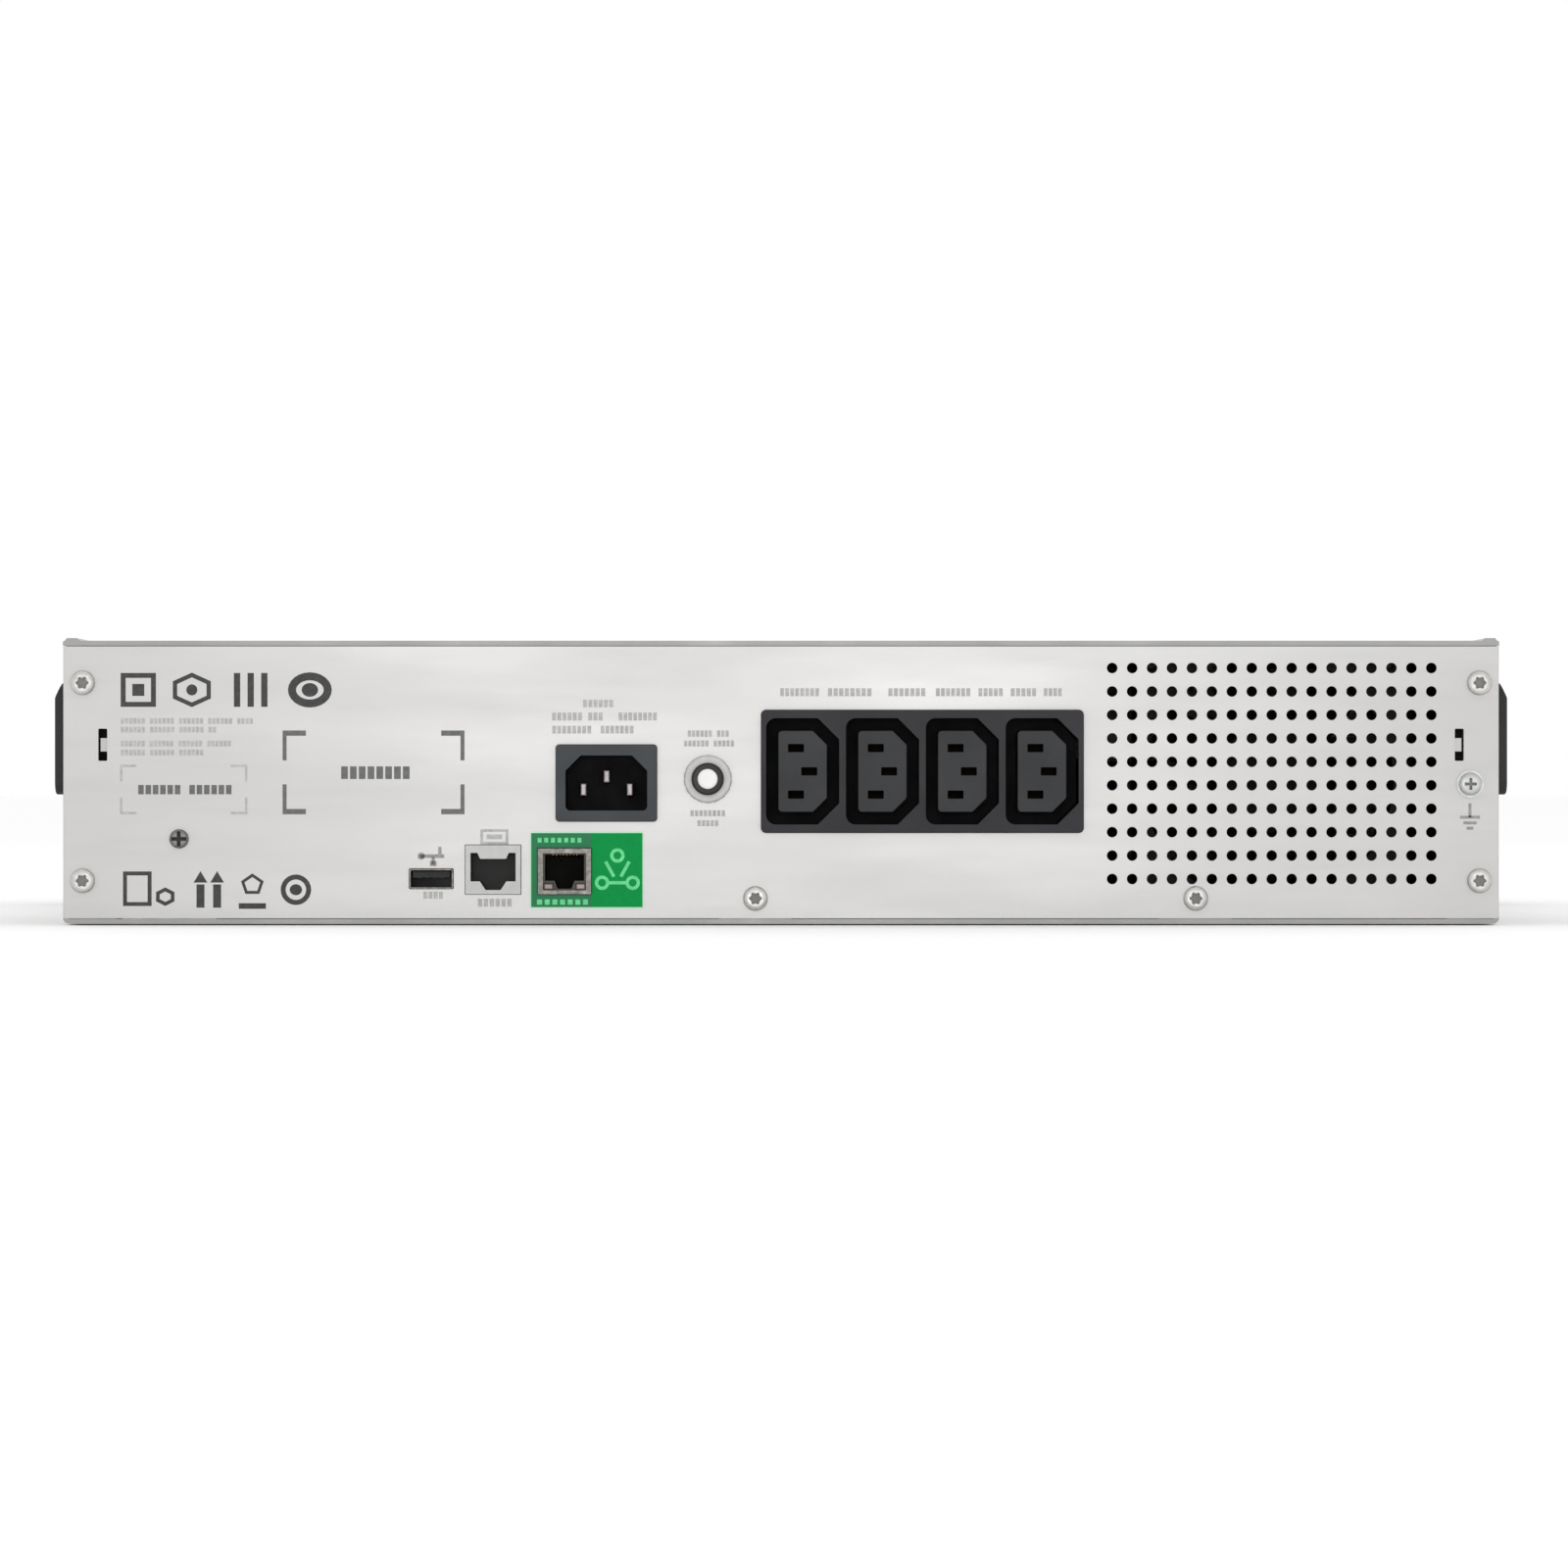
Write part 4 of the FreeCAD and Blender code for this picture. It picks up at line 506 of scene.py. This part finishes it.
# The label's words, and a sign of three joined points for a network.
label_print = start_print("label_print")
label_face = label_low.y
SIGN_X = -49.2
SIGN_LOW = 12.4
SIGN_HIGH = 20.6
SIGN_HALF = 4.6
for x, z in ((SIGN_X, SIGN_HIGH), (SIGN_X - SIGN_HALF, SIGN_LOW), (SIGN_X + SIGN_HALF, SIGN_LOW)):
    stamp(x, z, 4.4, 4.4, hollow=1.0, corners=16, face=label_face)
stamp(SIGN_X, SIGN_LOW, 4.9, 1.0, face=label_face)
SIGN_LEAN = 29
for side in (-1, 1):
    stamp(SIGN_X + side * SIGN_HALF / 2, (SIGN_LOW + SIGN_HIGH) / 2, 1.0, 5.2,
          spin=-side * SIGN_LEAN, face=label_face)
for i in range(7):
    stamp(-72.6 + i * 2.0, 25.2, 1.2, 1.4, face=label_face)
    stamp(-72.6 + i * 2.3, 6.6, 1.5, 1.6, face=label_face)
finish_print(label_print, INK_THICKNESS, ink("light_green_ink", (0.12, 0.62, 0.25)))

# ---- Screw recesses ----
# The floors of the panel screws' drive recesses carry dark pieces as painted shade: discs under the six-lobed
# sockets and a cross in the earthing screw. The cross in the transformer clamp's small screw is painted near
# black, also as painted shade.
# Painted shade: a dark grey for the floors of the lobed and earthing recesses.
painted_recess_shade = new_finish("painted_shade_recess_floor", (0.34, 0.335, 0.33), 0.7, metallic=0.4)
mottle(painted_recess_shade, 1500, (0.27, 0.27, 0.265))
# Painted shade: near black for the cross in the clamp screw's recess.
painted_clamp_recess_shade = new_finish("painted_shade_clamp_recess", (0.012, 0.012, 0.012), 0.6)
mottle(painted_clamp_recess_shade, 1500, (0.03, 0.03, 0.03))
PANEL_SCREWS = ((-210, 72.5), (210, 72.5), (-210, 13), (210, 13), (-7.7, 7.7), (124.7, 7.7))
EARTH_SCREW = (EARTH_X, 42.1)
LOBED_FLOOR = rear - 0.68 * MM
CLAMP_FLOOR = rear - 0.70 * MM
EARTH_FLOOR = rear - 1.62 * MM
RECESS_FLOOR = 0.12
CROSS_STEP = 0.02 * MM


def stamp_cross(x, z, length, width, face):
    """Two crossed bars, the upright one a hair proud of the other so that their faces don't coincide."""
    stamp(x, z, length, width, face=face)
    stamp(x, z, width, length, face=face - CROSS_STEP)


panel_recesses = start_print("panel_recesses")
for x, z in PANEL_SCREWS:
    stamp(x, z, 3.8, 3.8, corners=16, face=LOBED_FLOOR)
stamp_cross(*EARTH_SCREW, 3.5, 0.85, EARTH_FLOOR)
finish_print(panel_recesses, RECESS_FLOOR, painted_recess_shade)

clamp_recess = start_print("clamp_recess")
stamp_cross(*CLAMP_SCREW, 4.5, 1.1, CLAMP_FLOOR)
finish_print(clamp_recess, RECESS_FLOOR, painted_clamp_recess_shade)


# ---- Network lamps ----
# Two light pipes of pale plastic in the lower corners of the network jack, unlit, with slightly
# raised ends. They are pressed into recesses of the jack's insert.
def pick_faces(piece, test):
    """In edit mode, selects the faces whose centre and normal pass the test."""
    bpy.ops.object.mode_set(mode="OBJECT")
    for part in (piece.data.vertices, piece.data.edges, piece.data.polygons):
        for item in part:
            item.select = False
    for face in piece.data.polygons:
        face.select = test(face.center, face.normal)
    bpy.ops.object.mode_set(mode="EDIT")
    bpy.ops.mesh.select_mode(type="FACE")


jack_low, jack_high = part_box("network_jack")
jack_x = (jack_low.x + jack_high.x) / 2
LAMP_SIDE = 4.85 * MM
LAMP_SIZE = (2.6 * MM, 3.4 * MM, 1.6 * MM)
lamp_plastic = moulding("light_pipe_plastic", (0.34, 0.28, 0.26), 0.2, texture=0.002)
for side, name in ((-1, "left_port_lamp"), (1, "right_port_lamp")):
    pick_none()
    centre = (jack_x + side * LAMP_SIDE, jack_low.y + 2.6 * MM, jack_low.z + 2.25 * MM)
    bpy.ops.mesh.primitive_cube_add(size=1, location=centre)
    port_lamp = bpy.context.object
    port_lamp.name = name
    bpy.ops.object.mode_set(mode="EDIT")
    bpy.ops.transform.resize(value=LAMP_SIZE, center_override=centre)
    pick_faces(port_lamp, lambda middle, normal: normal.y < -0.9)
    bpy.ops.mesh.inset(thickness=0.3 * MM)
    bpy.ops.transform.translate(value=(0, -0.2 * MM, 0))
    bpy.ops.object.mode_set(mode="OBJECT")
    bpy.ops.object.transform_apply(location=True, rotation=True, scale=True)
    port_lamp.data.materials.append(lamp_plastic)
    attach(port_lamp, "enclosure")

# ---- Circuit breaker ----
# A black body behind the panel, held by a dull plated nut on its threaded bush. The thread is
# moulded with the body. The white button slides in the bush.
breaker_plastic = moulding("breaker_plastic", (0.01, 0.01, 0.011), 0.35)
dress(breaker_plastic, "breaker_body")
button_plastic = moulding("breaker_button_plastic", (0.84, 0.83, 0.81), 0.3, texture=0.004)
dress(button_plastic, "breaker_button")
nut_plate = new_finish("dull_nut_plate", (0.53, 0.52, 0.51), 0.45, metallic=0.8)
mottle(nut_plate, 400, (0.47, 0.46, 0.45))
grain(nut_plate, 3000, 0.006)
dress(nut_plate, "breaker_nut")

button_low, button_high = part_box("breaker_button")
breaker_x = (button_low.x + button_high.x) / 2
breaker_z = (button_low.z + button_high.z) / 2
THREAD_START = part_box("breaker_nut")[0].y - 3.25 * MM
THREAD_RADIUS = 4.66 * MM
THREAD_RIDGE = 0.26 * MM
THREAD_PITCH = 0.75 * MM
THREAD_TURNS = 4
STEPS_A_TURN = 32
RIDGE_CORNERS = 6
pick_none()
bpy.ops.mesh.primitive_circle_add(vertices=RIDGE_CORNERS, radius=THREAD_RIDGE, location=(THREAD_RADIUS, 0, 0))
thread = bpy.context.object
thread.name = "breaker_thread"
bpy.ops.object.transform_apply(location=True, rotation=True, scale=True)
turns = thread.modifiers.new("turns", "SCREW")
turns.axis = "Y"
turns.screw_offset = THREAD_PITCH
turns.angle = math.radians(360)
turns.iterations = THREAD_TURNS
turns.steps = STEPS_A_TURN
turns.render_steps = STEPS_A_TURN
turns.use_normal_calculate = True
bpy.ops.object.modifier_apply(modifier="turns")
thread.location = (breaker_x, THREAD_START, breaker_z)
bpy.ops.object.transform_apply(location=True, rotation=True, scale=True)
bpy.ops.object.mode_set(mode="EDIT")
bpy.ops.mesh.select_all(action="SELECT")
bpy.ops.mesh.fill_holes(sides=RIDGE_CORNERS)
bpy.ops.mesh.normals_make_consistent(inside=False)
bpy.ops.object.mode_set(mode="OBJECT")
bpy.ops.object.shade_smooth_by_angle(angle=math.radians(40))
thread.data.materials.append(breaker_plastic)
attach(thread, "enclosure")


# ---- Side grips ----
# Black moulded pockets let into both side walls, coarse to the touch, and the tray's pull is the
# same plastic. Ribs are moulded across the roof of each pocket, so that the unit doesn't slip.
def bevelled_block(name, low, high, bevel, segments=2):
    """A block between two corners with rounded edges, shaped in its own mesh."""
    pick_none()
    centre = [(a + b) / 2 for a, b in zip(low, high)]
    bpy.ops.mesh.primitive_cube_add(size=1, location=centre)
    piece = bpy.context.object
    piece.name = name
    bpy.ops.object.mode_set(mode="EDIT")
    size = [b - a for a, b in zip(low, high)]
    bpy.ops.transform.resize(value=size, center_override=centre)
    bpy.ops.mesh.bevel(offset=bevel, segments=segments, affect="EDGES")
    bpy.ops.object.mode_set(mode="OBJECT")
    bpy.ops.object.transform_apply(location=True, rotation=True, scale=True)
    bpy.ops.object.shade_smooth_by_angle(angle=math.radians(35))
    return piece


def join_pieces(name, pieces):
    """One piece made of several, named for what they are together."""
    pick_none()
    for piece in pieces:
        piece.select_set(True)
    bpy.context.view_layer.objects.active = pieces[0]
    bpy.ops.object.join()
    pieces[0].name = name
    return pieces[0]


grip_plastic = moulding("grip_plastic", (0.016, 0.016, 0.017), 0.55, texture=0.03)
dress(grip_plastic, "left_side_grip", "right_side_grip", "battery_pull")
RIB_COUNT = 9
RIB_PITCH = 9 * MM
RIB_HALF_WIDTH = 0.9 * MM
ROOF_ABOVE_MIDDLE = 9.9 * MM
for side, node in ((-1, "left_side_grip"), (1, "right_side_grip")):
    low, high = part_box(node)
    inner = (low.x if side > 0 else high.x) + side * 2.0 * MM
    ends = sorted((inner + side * 0.1 * MM, inner + side * 12 * MM))
    roof = (low.z + high.z) / 2 + ROOF_ABOVE_MIDDLE
    ribs = []
    for i in range(RIB_COUNT):
        y = (low.y + high.y) / 2 + (i - (RIB_COUNT - 1) / 2) * RIB_PITCH
        ribs.append(bevelled_block("rib", (ends[0], y - RIB_HALF_WIDTH, roof - 0.9 * MM),
                                   (ends[1], y + RIB_HALF_WIDTH, roof + 0.3 * MM), 0.35 * MM))
    grip_ribs = join_pieces(node + "_ribs", ribs)
    grip_ribs.data.materials.append(grip_plastic)
    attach(grip_ribs, "enclosure")

# ---- Rack ears ----
# Thick steel angles screwed to the side walls at the front, with slots for the rack's screws. They
# have a textured black powder coat, and the fan's bracket has the same.
powder_coat = new_finish("black_powder_coat", (0.018, 0.018, 0.019), 0.55, specular=0.4)
mottle(powder_coat, 80, (0.026, 0.026, 0.028))
uneven_gloss(powder_coat, 160, 0.48, 0.68)
grain(powder_coat, 900, 0.05)
grain(powder_coat, 4000, 0.01)
dress(powder_coat, "left_rack_ear", "right_rack_ear", "fan_bracket")

# ---- Fan ----
# A black moulded frame and rotor that blow air out through the cooling holes. The rotor's hub has a
# blank black sticker with a raised ring over its bearing.
fan_plastic = moulding("fan_plastic", (0.008, 0.008, 0.009), 0.5, specular=0.15)
dress(fan_plastic, "fan_frame", "fan_rotor")
fan_low, fan_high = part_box("fan_frame")
rotor_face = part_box("fan_rotor")[0].y
fan_x = (fan_low.x + fan_high.x) / 2 / MM
fan_z = (fan_low.z + fan_high.z) / 2 / MM
STICKER_WIDTH = 24
STICKER_THICKNESS = 0.1
hub_paper = new_finish("hub_sticker", (0.012, 0.012, 0.013), 0.6, specular=0.2)
mottle(hub_paper, 300, (0.02, 0.02, 0.022))
grain(hub_paper, 1800, 0.01)
hub_sticker = start_print("hub_sticker")
stamp(fan_x, fan_z, STICKER_WIDTH, STICKER_WIDTH, corners=32, face=rotor_face)
stamp(fan_x, fan_z, 8, 8, hollow=1.0, corners=24, face=rotor_face - STICKER_THICKNESS * MM)
finish_print(hub_sticker, STICKER_THICKNESS, hub_paper, body="fan_wheel")

# ---- Transformer ----
# Stacked steel laminations with varnished edges, clamped to the base and to the panel. The winding
# on the middle leg is wrapped in overlapping turns of yellow tape.
laminations = new_finish("varnished_laminations", (0.12, 0.11, 0.10), 0.45, metallic=0.6)
mottle(laminations, 1600, (0.30, 0.29, 0.27), stretch=(0.02, 1, 0.02), low=0.4, high=0.6)
mottle(laminations, 40, (0.09, 0.07, 0.05), low=0.55, high=0.8)
grain(laminations, 1600, 0.06, stretch=(0.02, 1, 0.02))
dress(laminations, "transformer_core")
tape = new_finish("winding_tape", (0.62, 0.42, 0.05), 0.35)
mottle(tape, 160, (0.50, 0.32, 0.03), stretch=(0.05, 0.05, 1), low=0.45, high=0.55)
uneven_gloss(tape, 60, 0.25, 0.5)
grain(tape, 160, 0.12, stretch=(0.05, 0.05, 1), detail=1)
grain(tape, 2400, 0.01)
dress(tape, "transformer_winding")

# ---- Circuit boards ----
# Green solder mask over copper tracks, on brass posts. Capacitors in sleeved cans, relays, connectors
# and chips of many sizes are soldered to them.
solder_mask = new_finish("solder_mask", (0.012, 0.11, 0.04), 0.32, coat=0.3)
mottle(solder_mask, 420, (0.03, 0.19, 0.07), stretch=(1, 0.1, 1), low=0.52, high=0.54)
mottle(solder_mask, 420, (0.03, 0.19, 0.07), stretch=(0.1, 1, 1), low=0.56, high=0.58)
grain(solder_mask, 420, 0.03, stretch=(1, 0.1, 1), detail=1)
dress(solder_mask, "main_board", "comms_board")
brass = new_finish("turned_brass", (0.70, 0.52, 0.22), 0.3, metallic=1.0)
mottle(brass, 400, (0.55, 0.38, 0.14))
grain(brass, 3000, 0.004)
dress(brass, "board_standoffs")
can_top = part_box("bulk_capacitors")[1].z
sleeve = new_finish("capacitor_sleeve", (0.01, 0.014, 0.05), 0.3, coat=0.3)
mottle(sleeve, 200, (0.014, 0.02, 0.07))
grain(sleeve, 900, 0.01)
blend_colour(sleeve, beyond(sleeve, "Z", can_top - 0.4 * MM), (0.6, 0.6, 0.61))
dress(sleeve, "bulk_capacitors")
relay_plastic = moulding("relay_plastic", (0.015, 0.017, 0.02), 0.28, texture=0.004)
dress(relay_plastic, "relays")
part_black = moulding("component_black", (0.02, 0.02, 0.022), 0.4, texture=0.006)
part_pale = moulding("component_pale", (0.55, 0.52, 0.44), 0.4, texture=0.006)
BOARD_THICKNESS = 1.6 * MM


def populate(name, node, places, material):
    """Soldered parts on a board, each given as x, y, width, depth and height in millimetres."""
    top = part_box(node)[0].z + BOARD_THICKNESS
    made = []
    for x, y, width, depth, height in places:
        low = ((x - width / 2) * MM, (y - depth / 2) * MM, top - 0.05 * MM)
        high = ((x + width / 2) * MM, (y + depth / 2) * MM, top + height * MM)
        made.append(bevelled_block("part", low, high, min(width, depth, height) * 0.12 * MM, 1))
    piece = join_pieces(name, made)
    piece.data.materials.append(material)
    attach(piece, "enclosure")


comms_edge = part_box("comms_board")[0].y / MM
small_chips = []
for i in range(5):
    small_chips.append((-79 + i * 4.2, comms_edge + 55, 3.0, 2.0, 1.2))
    small_chips.append((-104, comms_edge + 33 + i * 4, 2.4, 1.6, 0.9))
populate("comms_chips", "comms_board", small_chips, part_black)
populate("comms_connectors", "comms_board", [
    (-72, comms_edge + 64, 22, 6, 8), (-52, comms_edge + 40, 6, 14, 7)], part_pale)
power_parts = [(20 + (i % 3) * 5, 60 + (i // 3) * 8, 3.6, 5.0, 3.0) for i in range(9)]
power_parts += [(84, -90 + i * 24, 10, 16, 11) for i in range(5)]
power_parts += [(132, 70 + i * 13, 9, 9, 4) for i in range(4)]
populate("power_chips", "main_board", power_parts, part_black)
populate("power_connectors", "main_board", [
    (60, 130, 30, 8, 11), (110, 138, 18, 8, 11), (-14, 100, 10, 26, 12), (176, 110, 14, 20, 16)],
    part_pale)

# ---- Heat sinks ----
# Two extruded aluminium combs, black anodised. Four power transistors are clipped to the web of each,
# with their tabs against it and their three legs in the board.
anodised = new_finish("black_anodised_aluminium", (0.014, 0.014, 0.015), 0.45, metallic=0.4)
mottle(anodised, 90, (0.024, 0.022, 0.024), stretch=(1, 0.03, 1))
uneven_gloss(anodised, 200, 0.38, 0.55, stretch=(1, 0.03, 1))
grain(anodised, 1200, 0.01, stretch=(1, 0.02, 1))
dress(anodised, "heat_sinks")
SINK_SPACING = 110 * MM
TRANSISTOR_THICKNESS = 4.6 * MM
TRANSISTOR_HALF_WIDTH = 7.5 * MM
TRANSISTOR_HEIGHT = 20 * MM
LEG_HALF_WIDTH = 0.5 * MM
sink_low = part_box("heat_sinks")[0]
transistors = []
for x in (sink_low.x, sink_low.x + SINK_SPACING):
    for i in range(4):
        y = sink_low.y + (12 + i * 24) * MM
        z = sink_low.z + 12 * MM
        transistors.append(bevelled_block(
            "body", (x - TRANSISTOR_THICKNESS, y - TRANSISTOR_HALF_WIDTH, z),
            (x, y + TRANSISTOR_HALF_WIDTH, z + TRANSISTOR_HEIGHT), 0.5 * MM))
        for leg in (-5 * MM, 0, 5 * MM):
            transistors.append(bevelled_block(
                "leg", (x - 2.6 * MM, y + leg - LEG_HALF_WIDTH, sink_low.z),
                (x - 2.0 * MM, y + leg + LEG_HALF_WIDTH, z + 1 * MM), 0.1 * MM, 1))
power_transistors = join_pieces("power_transistors", transistors)
power_transistors.data.materials.append(part_black)
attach(power_transistors, "enclosure")

# ---- Filter choke ----
# Turns of enamelled copper wire round a ring-shaped core, close together but for a gap where the two
# ends leave. One turn is made as a ring and copied.
enamel = new_finish("enamelled_copper", (0.45, 0.12, 0.03), 0.25, metallic=0.8)
mottle(enamel, 300, (0.35, 0.08, 0.02))
uneven_gloss(enamel, 500, 0.18, 0.34)
grain(enamel, 1500, 0.01)
dress(enamel, "filter_choke")
choke_low, choke_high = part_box("filter_choke")
choke_centre = (choke_low + choke_high) / 2
CORE_RADIUS = 18 * MM
TURN_RADIUS = 9.9 * MM
WIRE_RADIUS = 0.6 * MM
TURN_COUNT = 38
TURNS_IN_GAP = 4
TURN_FLATNESS = 0.95
pick_none()
bpy.ops.mesh.primitive_torus_add(
    major_segments=20, minor_segments=6, major_radius=TURN_RADIUS, minor_radius=WIRE_RADIUS,
    location=(CORE_RADIUS, 0, 0), rotation=(math.radians(90), 0, 0))
first_turn = bpy.context.object
first_turn.scale.y = TURN_FLATNESS
bpy.ops.object.transform_apply(location=True, rotation=True, scale=True)
rings = [first_turn]
for i in range(1, TURN_COUNT):
    ring = first_turn.copy()
    ring.data = first_turn.data.copy()
    scene.collection.objects.link(ring)
    rings.append(ring)
for i, ring in enumerate(rings):
    ring.rotation_euler = (0, 0, 2 * math.pi * (i + 0.5) / (TURN_COUNT + TURNS_IN_GAP))
    ring.location = choke_centre
choke_turns = join_pieces("choke_turns", rings)
bpy.ops.object.transform_apply(location=True, rotation=True, scale=True)
bpy.ops.object.shade_smooth()
choke_turns.data.materials.append(enamel)
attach(choke_turns, "enclosure")

# ---- Batteries ----
# Two sealed dark blocks on their sides in the tray, each with a red and a black rubber boot over its
# terminals and a blank paper label. The tray's connector halves are mid-grey plastic.
battery_plastic = moulding("battery_plastic", (0.035, 0.036, 0.04), 0.5, texture=0.02)
dress(battery_plastic, "rear_battery", "front_battery")
connector_plastic = moulding("connector_plastic", (0.2, 0.2, 0.21), 0.45)
dress(connector_plastic, "battery_socket", "battery_plug")
red_boot = moulding("red_terminal_boot", (0.42, 0.012, 0.01), 0.4)
black_boot = moulding("black_terminal_boot", (0.012, 0.012, 0.012), 0.45)
label_paper = new_finish("battery_label", (0.62, 0.62, 0.60), 0.55)
mottle(label_paper, 90, (0.56, 0.56, 0.54))
grain(label_paper, 1500, 0.006)
TERMINAL_SIDE = 60 * MM
BOOT_HALF_WIDTH = 5 * MM
LABEL_MARGIN = 30 * MM
for node in ("rear_battery", "front_battery"):
    low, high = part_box(node)
    for side, finish, tone in ((-1, red_boot, "red"), (1, black_boot, "black")):
        x = (low.x + high.x) / 2 + side * TERMINAL_SIDE
        boot = bevelled_block(node + "_" + tone + "_boot",
                              (x - BOOT_HALF_WIDTH, high.y - 5.4 * MM, high.z - 19 * MM),
                              (x + BOOT_HALF_WIDTH, high.y + 0.2 * MM, high.z - 10 * MM), 1.2 * MM, 3)
        boot.data.materials.append(finish)
        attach(boot, "tray")
    sheet_label = bevelled_block(node + "_label", (low.x + LABEL_MARGIN, low.y + 18 * MM, high.z - 0.05 * MM),
                                 (high.x - LABEL_MARGIN, high.y - 24 * MM, high.z + 0.12 * MM), 0.05 * MM, 1)
    sheet_label.data.materials.append(label_paper)
    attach(sheet_label, "tray")

# ---- Display ----
# A reflective liquid-crystal panel on its own board, behind a clear acrylic window in a dark housing.
# It shows bars for charge and load and rows of blank blocks. Four green lamps stand in a row above it.
display_plastic = moulding("display_plastic", (0.035, 0.036, 0.04), 0.32, texture=0.006)
dress(display_plastic, "display_housing")
board_back, board_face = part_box("display_board")
lcd = new_finish("display_board_and_panel", (0.012, 0.11, 0.04), 0.35)
blend_colour(lcd, beyond(lcd, "Y", board_back.y + 2.0 * MM), (0.30, 0.40, 0.42))
mottle(lcd, 300, (0.27, 0.37, 0.39), low=0.6, high=0.9)
grain(lcd, 2000, 0.003)
dress(lcd, "display_board")
acrylic = new_finish("clear_acrylic", (0.93, 0.95, 0.96), 0.04)
acrylic.node_tree.nodes["Principled BSDF"].inputs["Transmission Weight"].default_value = 1.0
acrylic.node_tree.nodes["Principled BSDF"].inputs["IOR"].default_value = 1.49
uneven_gloss(acrylic, 90, 0.02, 0.07)
dress(acrylic, "display_window")

window_low, window_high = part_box("display_window")
centre_x = (window_low.x + window_high.x) / 2 / MM
centre_z = (window_low.z + window_high.z) / 2 / MM
panel_face = board_face.y
lcd_image = start_print("lcd_image")
for side in (-1, 1):
    for i in range(5):
        stamp(centre_x + side * 19, centre_z - 7 + i * 3.6, 6.0, 2.6, face=panel_face)
    stamp(centre_x + side * 19, centre_z + 10.8, 3.0, 1.4, face=panel_face)
stamp(centre_x, centre_z + 9.6, 22, 2.2, face=panel_face)
for i in range(4):
    stamp(centre_x - 9 + i * 6, centre_z + 2.4, 4.4, 7.6, hollow=1.0, face=panel_face)
for row in range(2):
    for i in range(6):
        stamp(centre_x - 10.5 + i * 4.2, centre_z - 6 - row * 4, 3.0, 2.2, face=panel_face)
finish_print(lcd_image, 0.12, ink("lcd_ink", (0.02, 0.03, 0.035)), way=1)

STATUS_ROW = 65.5
housing_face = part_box("display_housing")[1].y
lamp_green = moulding("status_lamp_green", (0.05, 0.45, 0.12), 0.25, texture=0.002)
status_lamps = start_print("status_lamps")
for i in range(4):
    stamp(centre_x - 18 + i * 12, STATUS_ROW, 5.0, 1.8, face=housing_face - 0.02 * MM)
finish_print(status_lamps, 0.12, lamp_green, way=1)

# ---- Keys ----
# Five mid-grey caps that travel in the display's housing, each with a pale printed sign. The signs
# are a power ring and bar, an arrowhead up, one down, a disc and a ring.
key_plastic = moulding("key_plastic", (0.12, 0.122, 0.13), 0.4, texture=0.008)
dress(key_plastic, "power_button", "escape_button", "up_button", "enter_button", "down_button")
key_ink = ink("key_ink", (0.60, 0.61, 0.62))


def mark_key(name, node, body, draw):
    """A pale sign printed on a key's cap."""
    low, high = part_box(node)
    piece = start_print(name)
    draw((low.x + high.x) / 2 / MM, (low.z + high.z) / 2 / MM, high.y)
    finish_print(piece, 0.05, key_ink, body=body, way=1)


def draw_power(x, z, face):
    """A ring with a bar across its top."""
    stamp(x, z - 0.3, 7.0, 7.0, hollow=0.8, corners=28, face=face)
    stamp(x, z + 2.4, 0.9, 3.6, face=face)


mark_key("power_sign", "power_button", "power_key", draw_power)
mark_key("up_sign", "up_button", "up_key", lambda x, z, y: stamp(x, z - 0.3, 4.4, 4.0, corners=3, face=y))
mark_key("down_sign", "down_button", "down_key",
         lambda x, z, y: stamp(x, z + 0.3, 4.4, -4.0, corners=3, face=y))
mark_key("enter_sign", "enter_button", "enter_key", lambda x, z, y: stamp(x, z, 3.6, 3.6, corners=20, face=y))
mark_key("escape_sign", "escape_button", "escape_key",
         lambda x, z, y: stamp(x, z, 3.8, 3.8, hollow=0.7, corners=20, face=y))

# ---- Bezel and dust filter ----
# The bezel is moulded in textured black plastic and snaps onto the front. Behind its louvres is a
# sheet of black open-cell foam, whose rim is pressed thin under the clips.
bezel_plastic = moulding("bezel_plastic", (0.014, 0.0145, 0.016), 0.5, texture=0.03)
dress(bezel_plastic, "front_bezel")
foam = new_finish("filter_foam", (0.006, 0.006, 0.0065), 0.9, specular=0.15)
mottle(foam, 900, (0.022, 0.022, 0.024), low=0.5, high=0.62)
grain(foam, 1100, 0.4, detail=2)
FOAM_X = (-201 * MM, 31 * MM)
FOAM_Z = (9 * MM, 77 * MM)
FOAM_THICKNESS = 2.0 * MM
FOAM_RIM = 4 * MM
foam_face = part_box("front_bezel")[1].y - 2.55 * MM
foam_middle = sum(FOAM_Z) / 2
dust_filter = bevelled_block("dust_filter", (FOAM_X[0], foam_face - FOAM_THICKNESS, FOAM_Z[0]),
                             (FOAM_X[1], foam_face, FOAM_Z[1]), 0.25 * MM)
pick_faces(dust_filter, lambda middle, normal: normal.y < -0.99)
bpy.ops.mesh.inset(thickness=FOAM_RIM)
pick_faces(dust_filter, lambda middle, normal: normal.y < -0.99 and abs(middle.z - foam_middle) > 26 * MM)
bpy.ops.transform.translate(value=(0, 0.6 * MM, 0))
bpy.ops.object.mode_set(mode="OBJECT")
dust_filter.data.materials.append(foam)
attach(dust_filter, "bezel")
